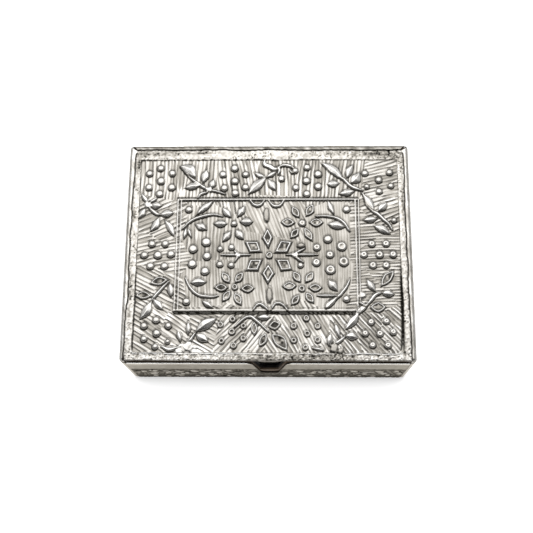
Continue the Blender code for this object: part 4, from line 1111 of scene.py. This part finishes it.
def sprigRow(halfLength):
    # side and rear sheets carry a repeated sprig between clusters of dots
    dots, leaves, stems = [], [], []
    count = max(1, round(halfLength / sprig["spacing"]))
    pitch = halfLength / count
    level, side, rise = sprig["level"], sprig["side"], sprig["rise"]
    for index in range(2 * count):
        middle = -halfLength + pitch * (index + 0.5)
        if index % 2:
            dots += [(middle + dx, level + dz, sprig["dotRadius"]) for dx, dz in
                     ((0, 0), (0, 2 * rise), (0, -2 * rise), (side, rise), (side, -rise), (-side, rise),
                      (-side, -rise))]
        else:
            stems.append((0.8, [(middle + dx, z) for dx, z in sprig["stem"]]))
            leaves += [(middle + x0, z0, middle + x1, z1, width, 0.2)
                       for x0, z0, x1, z1, width in sprig["leaves"]]
    return {"plain": dots}, leaves, stems


def makeCladdingRelief(halfLength, dots, leaves, stems, seed, footShade, ground):
    sheet = Relief((-halfLength - 1, caseFoot - 1), (halfLength + 1, caseTop + 1), 0.13)
    x, z = sheet.gridX, sheet.gridY
    waver = 0.5 * (noise(x / 5, z / 5, seed) - 0.5)
    dimples = noise(x / 1.2, z / 1.2, seed + 1) + 0.6 * noise(x / 0.5, z / 0.5, seed + 2)
    sheet.height += cladding["dimple"] * (dimples - 0.8)
    edge = smoothStep(caseTop - cladding["edgeBand"] - 1.6, caseTop - cladding["edgeBand"] + 0.4, z + waver)
    rubs = noise(x / 4, z / 0.35, seed + 4) - 0.5
    brink = smoothStep(caseTop - 0.7, caseTop - 0.2, z)
    sheet.tone += (cladding["plainTone"] + cladding["edgeTone"] * edge + 0.08 * (dimples - 0.8)
                   + 0.16 * rubs + 0.3 * brink)
    inField = cladding["bandTop"] - z + waver
    inside = smoothStep(-0.3, 0.4, inField)
    seeds = [(k * 9.0 - halfLength, 11 + 5 * math.sin(k * 2.1), 78 + 30 * math.sin(k * 1.7), 1.2, 0.6)
             for k in range(int(halfLength / 4.5) + 1)]
    strokes = strokeField(x, z, seeds, seed + 5)
    sheet.height += inside * (-cladding["depth"] + cladding["hatch"] * strokes - sheet.height)
    sheet.tone += inside * (ground + cladding["strokeTone"] * strokes - sheet.tone)
    dashes = smoothStep(0.3, 0.6, noise(x / 0.9, z / 3, seed + 3))
    cut = np.exp(-((inField + 0.2) / 0.35) ** 2) * (0.25 + 0.75 * dashes)
    sheet.height -= cladding["score"] * cut
    sheet.tone -= cladding["scoreTone"] * cut
    stampMotifs(sheet, -cladding["depth"], dots, leaves, stems)
    # the case is handled less than the lid, so its ornament stays duller
    sheet.tone -= cladding["dulling"] * inside * np.clip(sheet.tone - cladding["dullFrom"], 0, 1)
    punched = inside * smoothStep(0.70, 0.84, noise(x / 1.0, z / 1.5, seed + 6))
    sheet.height -= cladding["punch"] * punched
    sheet.tone -= cladding["punchTone"] * punched
    sheet.finish(0.09, 0.45, 0.6)
    # painted shade darkens each sheet towards its foot
    sheet.tone -= footShade * smoothStep(caseFoot + cladding["footShadeHeight"], caseFoot, z)
    sheet.tone = np.clip(sheet.tone, 0, 1)
    return sheet


notch = {"centre": 0.6, "sheetFloor": 11.7, "liningFloor": 14.6, "half": 3.2, "topHalf": 6.6,
         "floorRadius": 1.6, "shoulder": 2.6, "zone": 10.0, "liningMargin": 0.6, "liningOpening": 0.012}


def notchHalf(z, floor, margin):
    # half width of the notch at a level: straight slope, rounded floor corner, flared shoulder
    top = caseTop
    slope = (notch["topHalf"] - notch["half"]) / (top - floor)
    half = notch["half"] + margin + slope * (z - floor)
    rise = np.clip(notch["floorRadius"] - (z - floor), 0, notch["floorRadius"])
    half = half - notch["floorRadius"] + np.sqrt(np.maximum(notch["floorRadius"] ** 2 - rise ** 2, 0))
    drop = np.clip(notch["shoulder"] - (top - z), 0, notch["shoulder"])
    return half + notch["shoulder"] - np.sqrt(np.maximum(notch["shoulder"] ** 2 - drop ** 2, 0))


def notchedGrid(halfLength, low, high, spacing, floor, margin=0.0):
    # columns beside the notch squeeze up to its edge; returns plan points and the rects round the opening
    zone = notch["zone"]
    xs, i = steps([-halfLength, notch["centre"] - zone, notch["centre"] - notch["half"] * 0.5,
                   notch["centre"] + notch["half"] * 0.5, notch["centre"] + zone, halfLength], spacing)
    zs, j = steps([low, floor, floor + notch["floorRadius"], high], spacing)
    x, z = np.meshgrid(xs, zs)
    local = x - notch["centre"]
    start = notch["half"] * 0.5
    half = notchHalf(np.maximum(z, floor), floor, margin)
    beside = (np.abs(local) >= start - 1e-6) & (np.abs(local) <= zone)
    share = (np.abs(local) - start) / (zone - start)
    moved = np.sign(local) * (half + (zone - half) * share)
    centred = np.where(np.abs(local) < start, local / start * half, local)
    x = np.where(beside, moved, centred) + notch["centre"]
    rects = [(0, i[2], j[0], j[1]), (i[2], i[3], j[0], j[1]), (i[3], i[5], j[0], j[1]),
             (0, i[2], j[1], j[3]), (i[3], i[5], j[1], j[3])]
    return x, z, rects


def addFrontCladding():
    dots = {"plain": [(x, z, sprig["dotRadius"]) for x, z in frontDots]}
    relief = makeCladdingRelief(halfX, dots, frontLeaves, frontStems, 80, *cladding["front"])
    top = caseTop - cladding["frontDrop"]
    x, z, rects = notchedGrid(-frontLow[0], caseFoot, top, cladding["spacing"], notch["sheetFloor"])
    height = relief.sample(relief.height, x, z)
    tone = relief.sample(relief.tone, x, z)
    face = np.stack([x, -halfY - cladding["frontProud"] - height, z], 2)
    back = np.stack([x, np.full(x.shape, -halfY - cladding["frontProud"] + cladding["sheet"]), z], 2)
    mesh = gridSheet("front_sheet", face, back, rects, tone, 0.9)
    addPiece("front_sheet", mesh, caseSilver, "base", ["front_cladding"])


def addRearCladding():
    dots, leaves, stems = sprigRow(-rearLow[0] - 4)
    relief = makeCladdingRelief(halfX, dots, leaves, stems, 120, *cladding["hidden"])
    pinLow, pinHigh = boxMm("hinge_pin_left")
    leafFoot = boxMm("base_hinge_leaf_left")[0][2]
    cut = {"half": (pinHigh[0] - pinLow[0]) / 2 + cladding["leafGap"],
           "centre": -(pinLow[0] + pinHigh[0]) / 2, "foot": leafFoot - cladding["leafGap"]}
    breaks = [-rearHigh[0], -cut["centre"] - cut["half"], -cut["centre"] + cut["half"],
              cut["centre"] - cut["half"], cut["centre"] + cut["half"], rearHigh[0]]
    xs, i = steps(breaks, cladding["spacing"])
    # the sheet stands above the wall, to narrow the gap under the lid
    zs, j = steps([caseFoot, cut["foot"], caseTop + cladding["rearRise"]], cladding["spacing"])
    x, z = np.meshgrid(xs, zs)
    height = relief.sample(relief.height, x, z)
    tone = relief.sample(relief.tone, x, z)
    # seen from behind, so the columns run the other way
    face = np.stack([-x, halfY + height, z], 2)
    back = np.stack([-x, np.full(x.shape, halfY - cladding["sheet"]), z], 2)
    rects = [(i[a], i[a + 1], 0, j[1]) for a in range(5)] + [(i[a], i[a + 1], j[1], j[2]) for a in (0, 2, 4)]
    mesh = gridSheet("rear_sheet", face, back, rects, tone)
    addPiece("rear_sheet", mesh, caseSilver, "base", ["rear_cladding"])


def addSideCladding(label, side):
    radius = cladding["corner"]
    flat = cladding["returnWidth"] - radius
    quarter = radius * math.pi / 2
    run = 2 * (halfY - radius)
    total = 2 * flat + 2 * quarter + run
    dots, leaves, stems = sprigRow(halfY - 4)
    relief = makeCladdingRelief(total / 2, dots, leaves, stems, 150 + 20 * side, *cladding["hidden"])
    ss = steps([0, flat, flat + quarter, flat + quarter + run, flat + 2 * quarter + run, total],
               cladding["spacing"])[0]
    zs = steps([caseFoot, caseTop], cladding["spacing"])[0]
    s, z = np.meshgrid(ss, zs)
    first = np.clip((s - flat) / radius, 0, math.pi / 2)
    second = np.clip((s - flat - quarter - run) / radius, 0, math.pi / 2)
    angle = first + second
    # a path for the right side, from the front return round to the rear return
    along = -halfY + radius + np.clip(s - flat - quarter, 0, run)
    outX = halfX - radius + radius * np.sin(angle)
    x = outX - np.maximum(flat - s, 0) - np.maximum(s - (total - flat), 0)
    y = along - radius * np.cos(angle)
    normal = np.stack([np.sin(angle), -np.cos(angle), 0 * s], 2)
    height = relief.sample(relief.height, s - total / 2, z)
    tone = relief.sample(relief.tone, s - total / 2, z)
    bare = smoothStep(flat + quarter + 2.5, flat + quarter + 0.5, np.minimum(s, total - s))
    height = height * (1 - 0.7 * bare)
    tone = tone + bare * (0.72 - tone)
    base = np.stack([x, y, z], 2)
    face = base + normal * height[..., None]
    back = base - normal * cladding["sheet"]
    if side < 0:
        face[..., 0] *= -1
        back[..., 0] *= -1
        face, back, tone = face[:, ::-1], back[:, ::-1], tone[:, ::-1]
    rects = [(k, k + 1, 0, len(zs) - 1) for k in range(len(ss) - 1)]
    name = "side_sheet_" + label
    mesh = gridSheet(name, face, back, rects, tone)
    addPiece(name, mesh, caseSilver, "base", [label + "_cladding"])


addFrontCladding()
addRearCladding()
addSideCladding("left", -1)
addSideCladding("right", 1)
print("claddings made")


# Cards covered in cloth, made by one tree

def endTree(tree, given, out, geometry):
    realize = node(tree, "GeometryNodeRealizeInstances", {"Geometry": geometry})
    paint = node(tree, "GeometryNodeSetMaterial",
                 {"Geometry": realize.outputs["Geometry"], "Material": given["Material"]})
    tree.links.new(paint.outputs["Geometry"], out.inputs[0])


def meshFromTree(name, tree, values, points=()):
    # runs the tree once and keeps its result as a plain mesh
    guideMesh = bpy.data.meshes.new(name + "Guide")
    guideMesh.from_pydata(list(points), [], [])
    guide = addObject(name + "Guide", guideMesh)
    modifier = guide.modifiers.new("tree", "NODES")
    modifier.node_group = tree
    sockets = {item.name: item.identifier for item in tree.interface.items_tree
               if item.item_type == "SOCKET" and item.in_out == "INPUT"}
    for label, value in values.items():
        modifier[sockets[label]] = value
    graph = bpy.context.evaluated_depsgraph_get()
    mesh = bpy.data.meshes.new_from_object(guide.evaluated_get(graph))
    mesh.name = name
    bpy.data.objects.remove(guide, do_unlink=True)
    return mesh


def makeClothCardTree():
    # a cloth-covered card: a rounded slab with a soft, uneven face
    tree, given, out = newGroup("clothCard", "GeometryNodeTree", [
        ("Size", "Vector", (0.1, 0.08, 0.001)), ("Centre", "Vector", (0, 0, 0)),
        ("Vertices X", "Int", 40), ("Vertices Y", "Int", 40), ("Vertices Z", "Int", 4),
        ("Rounding", "Float", 0.0003), ("Unevenness", "Float", 0.0001),
        ("Seed", "Float", 1.0), ("Material", "Material", None)], [("Geometry", "Geometry")])
    cube = node(tree, "GeometryNodeMeshCube",
                {label: given[label] for label in ("Size", "Vertices X", "Vertices Y", "Vertices Z")})
    position = node(tree, "GeometryNodeInputPosition").outputs[0]
    normal = node(tree, "GeometryNodeInputNormal").outputs[0]
    half = vectorMath(tree, "SCALE", given["Size"], Scale=0.5)
    rounding = node(tree, "ShaderNodeCombineXYZ", {axis: given["Rounding"] for axis in "XYZ"})
    core = vectorMath(tree, "SUBTRACT", half, rounding.outputs[0])
    negative = vectorMath(tree, "SCALE", core, Scale=-1)
    held = vectorMath(tree, "MAXIMUM", vectorMath(tree, "MINIMUM", position, core), negative)
    outward = vectorMath(tree, "NORMALIZE", vectorMath(tree, "SUBTRACT", position, held))
    rounded = vectorMath(tree, "ADD", held, vectorMath(tree, "SCALE", outward, Scale=given["Rounding"]))
    roundOff = node(tree, "GeometryNodeSetPosition", {"Geometry": cube.outputs["Mesh"], "Position": rounded})

    texture = node(tree, "ShaderNodeTexNoise", {"W": given["Seed"], "Scale": 130, "Detail": 2},
                   noise_dimensions="4D")
    sunk = maths(tree, "SUBTRACT", texture.outputs["Fac"], 1.0)
    ripple = vectorMath(tree, "SCALE", normal, Scale=maths(tree, "MULTIPLY", sunk, given["Unevenness"]))
    uneven = node(tree, "GeometryNodeSetPosition",
                  {"Geometry": roundOff.outputs["Geometry"], "Offset": ripple})
    move = node(tree, "GeometryNodeTransform",
                {"Geometry": uneven.outputs["Geometry"], "Translation": given["Centre"]})
    smooth = node(tree, "GeometryNodeSetShadeSmooth", {"Geometry": move.outputs["Geometry"]})
    endTree(tree, given, out, smooth.outputs["Geometry"])
    return tree


clothCard = makeClothCardTree()
cards = {"spacing": 0.0013, "rounding": 0.00032, "thinRounding": 0.45, "unevenness": 0.00012,
         "frontSpacing": 0.9, "frontSoftness": 0.10}


def addCard(name, nodeName, body, material, seed):
    low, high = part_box(nodeName)
    size = high - low
    counts = [max(3, int(size[axis] / cards["spacing"]) + 2) for axis in range(3)]
    mesh = meshFromTree(name, clothCard, {
        "Size": tuple(size), "Centre": tuple((low + high) / 2),
        "Vertices X": counts[0], "Vertices Y": counts[1], "Vertices Z": counts[2] + 1,
        "Rounding": min(cards["rounding"], min(size) * cards["thinRounding"]),
        "Unevenness": cards["unevenness"], "Seed": float(seed), "Material": material})
    piece = addPiece(name, mesh, material, body, [nodeName])


linedBoards = [("floor", "floor_board"), ("rear", "rear_wall"), ("left", "left_wall"),
               ("right", "right_wall"), ("lid", "lid_board")]
for seed, (place, restsOn) in enumerate(linedBoards, 1):
    body = "lid" if place == "lid" else "base"
    addCard(place + "_velvet", place + "_lining", body, blackVelvet, seed)
addCard("foot_felt", "base_felt", "base", darkFelt, 6)


def addFrontVelvet():
    low, high = boxMm("front_lining")
    x, z, rects = notchedGrid(high[0], low[2], high[2], cards["frontSpacing"], notch["liningFloor"],
                              notch["liningMargin"])
    soft = cards["frontSoftness"] * (noise(x / 5, z / 5, 91) - 1)
    face = np.stack([-x + 2 * notch["centre"], high[1] + soft, z], 2)
    face[..., 0] = np.clip(face[..., 0], low[0], high[0])
    back = np.stack([face[..., 0], np.full(x.shape, low[1]), z], 2)
    mesh = gridSheet("front_velvet", face, back, rects, np.full(x.shape, 0.5))
    piece = addPiece("front_velvet", mesh, blackVelvet, "base", ["front_lining"])


addFrontVelvet()
print("linings made")


# Hinge nails: domed heads set on the points where the leaves are pierced

def makeNailTree():
    tree, given, out = newGroup("domedNails", "GeometryNodeTree", [
        ("Geometry", "Geometry", None), ("Head Radius", "Float", 0.00055),
        ("Head Thickness", "Float", 0.0001), ("Dome", "Float", 0.00018),
        ("Shank Radius", "Float", 0.0003), ("Length", "Float", 0.0018), ("Turn", "Vector", (0, 0, 0)),
        ("Material", "Material", None)], [("Geometry", "Geometry")])

    def calc(operation, *sources):
        return maths(tree, operation, *sources)

    body = node(tree, "GeometryNodeMeshCylinder", {
        "Vertices": 24, "Side Segments": 12, "Fill Segments": 5, "Radius": given["Head Radius"],
        "Depth": given["Length"]})
    position = node(tree, "GeometryNodeInputPosition").outputs[0]
    parts = node(tree, "ShaderNodeSeparateXYZ", {0: position}).outputs
    fromTop = calc("SUBTRACT", calc("MULTIPLY", given["Length"], 0.5), parts["Z"])
    isShank = calc("GREATER_THAN", fromTop, given["Head Thickness"])
    ratio = calc("DIVIDE", given["Shank Radius"], given["Head Radius"])
    shrink = calc("SUBTRACT", 1.0, calc("MULTIPLY", isShank, calc("SUBTRACT", 1.0, ratio)))
    inPlan = node(tree, "ShaderNodeCombineXYZ", {"X": parts["X"], "Y": parts["Y"]}).outputs[0]
    across = calc("DIVIDE", lengthOf(tree, inPlan), given["Head Radius"])
    crown = calc("MULTIPLY", given["Dome"], calc("SUBTRACT", 1.0, calc("MULTIPLY", across, across)))
    lift = calc("SUBTRACT", calc("MULTIPLY", crown, calc("SUBTRACT", 1.0, isShank)), fromTop)
    shaped = node(tree, "ShaderNodeCombineXYZ", {
        "X": calc("MULTIPLY", parts["X"], shrink), "Y": calc("MULTIPLY", parts["Y"], shrink), "Z": lift})
    shape = node(tree, "GeometryNodeSetPosition",
                 {"Geometry": body.outputs["Mesh"], "Position": shaped.outputs[0]})
    smooth = node(tree, "GeometryNodeSetShadeSmooth", {"Geometry": shape.outputs["Geometry"]})
    spread = node(tree, "GeometryNodeInstanceOnPoints", {
        "Points": given["Geometry"], "Instance": smooth.outputs["Geometry"], "Rotation": given["Turn"]})
    endTree(tree, given, out, spread.outputs["Instances"])
    return tree


domedNails = makeNailTree()
nailDome = 0.00018


def addNails(name, prefix, body, turn, outward):
    nodeNames = sorted(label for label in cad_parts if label.startswith(prefix))
    places, length = [], 0
    for label in nodeNames:
        low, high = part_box(label)
        seat = (low + high) / 2
        axis = 1 if abs(outward[1]) > 0 else 2
        seat[axis] = (high[axis] if outward[axis] > 0 else low[axis]) - outward[axis] * nailDome
        length = high[axis] - low[axis] - nailDome
        places.append(tuple(seat))
    mesh = meshFromTree(name, domedNails, {"Length": length, "Turn": turn, "Material": nailSteel}, places)
    addPiece(name, mesh, nailSteel, body, nodeNames)


addNails("lid_hinge_nail_heads", "lid_hinge_nail_", "lid", (math.pi, 0, 0), (0, 0, -1))
addNails("base_hinge_nail_heads", "base_hinge_nail_", "base", (-math.pi / 2, 0, 0), (0, 1, 0))
print("hinge nails made")


# Solids that already have their shape only take a finish

def dress(nodeName, material):
    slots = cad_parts[nodeName].data.materials
    slots.clear()
    slots.append(material)


dress("front_wall", notchWood)
for nodeName in ("rear_wall", "floor_board"):
    dress(nodeName, caseWoodAcross)
for nodeName in ("left_wall", "right_wall"):
    dress(nodeName, caseWoodDeep)
dress("lid_board", lidWood)
for label in ("left", "right"):
    dress("lid_hinge_leaf_" + label, hingeBrass)
    dress("base_hinge_leaf_" + label, hingeBrass)
    dress("hinge_pin_" + label, nailSteel)


# Floor, world, lamps and camera

stage = {
    "floorHalf": 3.0, "floorColour": (0.9, 0.9, 0.9), "floorRoughness": 0.9, "glowReach": 0.030,
    "glow": [(0.0, 0.44), (0.03, 0.52), (0.08, 0.64), (0.16, 0.73), (0.3, 0.77), (1.0, 0.80)],
    "wallLevel": 0.88, "wallHeights": (0.56, 0.78), "horizonLevel": 0.30, "horizonHeights": (-0.05, 0.55),
    "sweepDepths": (-0.6, 0.6), "sweep": [(0.0, 0.03), (0.25, 0.05), (0.5, 0.55), (0.75, 1.0), (1.0, 1.1)],
}


def greyRamp(tree, driver, stops):
    return ramp(tree, driver, [(spot, (level, level, level)) for spot, level in stops])


def addFloor():
    half = stage["floorHalf"]
    mesh = bpy.data.meshes.new("floor")
    corners = [(-half, -half, 0), (half, -half, 0), (half, half, 0), (-half, half, 0)]
    mesh.from_pydata(corners, [], [(0, 1, 2, 3)])
    floor = addObject("floor", mesh)
    material, tree, shader = newMaterial("paleFloor")
    # the glow grows away from the box, so the shadow at its foot stays; the weaker glow near the box is a
    # painted shadow round its foot
    place = node(tree, "ShaderNodeTexCoord").outputs["Object"]
    beyond = vectorMath(tree, "SUBTRACT", vectorMath(tree, "ABSOLUTE", place), (halfX * mm, halfY * mm, 0))
    away = lengthOf(tree, vectorMath(tree, "MAXIMUM", beyond, (0, 0, 0)))
    level = greyRamp(tree, mapRange(tree, away, 0, 1, 0, stage["glowReach"]), stage["glow"])
    light = node(tree, "ShaderNodeLightPath").outputs
    seen = maths(tree, "MAXIMUM", light["Is Camera Ray"], light["Is Glossy Ray"])
    seen = maths(tree, "MAXIMUM", seen, light["Is Transmission Ray"])
    feed(tree, shader, {"Base Color": (*stage["floorColour"], 1), "Roughness": stage["floorRoughness"],
                        "Specular IOR Level": 0.0, "Emission Color": (1, 1, 1, 1),
                        "Emission Strength": maths(tree, "MULTIPLY", seen, level)})
    mesh.materials.append(material)


def setWorld():
    # a pale studio behind the box that falls off to a dark room behind the camera
    world = bpy.data.worlds.new("studio")
    bpy.context.scene.world = world
    world.use_nodes = True
    tree = world.node_tree
    place = node(tree, "ShaderNodeTexCoord").outputs["Generated"]
    parts = node(tree, "ShaderNodeSeparateXYZ", {0: place}).outputs
    horizon = mapRange(tree, parts["Z"], stage["horizonLevel"], 1, *stage["horizonHeights"], "SMOOTHSTEP")
    sweep = greyRamp(tree, mapRange(tree, parts["Y"], 0, 1, *stage["sweepDepths"]), stage["sweep"])
    # low down the walls are pale all round
    walls = mapRange(tree, parts["Z"], stage["wallLevel"], 0, *stage["wallHeights"], "SMOOTHSTEP")
    # the camera itself sees plain white
    seen = node(tree, "ShaderNodeLightPath").outputs["Is Camera Ray"]
    feed(tree, tree.nodes["Background"], {
        "Color": maths(tree, "MAXIMUM", seen, maths(tree, "MAXIMUM", sweep, walls)),
        "Strength": maths(tree, "MAXIMUM", seen, horizon)})


lamps = {
    # name: place, size x, size y, power, aimed at the middle of the lid
    "overheadSoftbox": ((-0.03, 0.325, 0.80), 0.85, 0.67, 3.9),
}


def addLamps():
    aim = Vector((0, 0, lidTop * mm))
    for name, (place, sizeX, sizeY, power) in lamps.items():
        data = bpy.data.lights.new(name, "AREA")
        data.shape = "RECTANGLE"
        data.size, data.size_y, data.energy = sizeX, sizeY, power
        lamp = addObject(name, data)
        lamp.location = place
        lamp.rotation_euler = (aim - Vector(place)).to_track_quat("-Z", "Y").to_euler()


view = {"azimuth": 4.2542, "elevation": 73.5499, "roll": -4.0774, "distance": 0.329241,
        "target": (-0.000572, -0.006336, 0.0342), "focalPixels": 864.63, "imagePixels": 533, "sensor": 36.0}


def addCamera():
    a, e, r = (math.radians(view[key]) for key in ("azimuth", "elevation", "roll"))
    back = Vector((math.sin(a) * math.cos(e), -math.cos(a) * math.cos(e), math.sin(e)))
    right = (-back).cross(Vector((0, 0, 1))).normalized()
    up = right.cross(-back)
    right, up = right * math.cos(r) + up * math.sin(r), up * math.cos(r) - right * math.sin(r)
    data = bpy.data.cameras.new("photoView")
    data.sensor_width = view["sensor"]
    data.lens = view["sensor"] * view["focalPixels"] / view["imagePixels"]
    data.clip_start = 0.01
    camera = addObject("photoView", data)
    place = Vector(view["target"]) + back * view["distance"]
    camera.matrix_world = Matrix.Translation(place) @ Matrix((right, up, back)).transposed().to_4x4()
    bpy.context.scene.camera = camera


addFloor()
setWorld()
addLamps()
addCamera()
bpy.context.scene.view_settings.view_transform = "Standard"
print("stage, lamps and camera set")
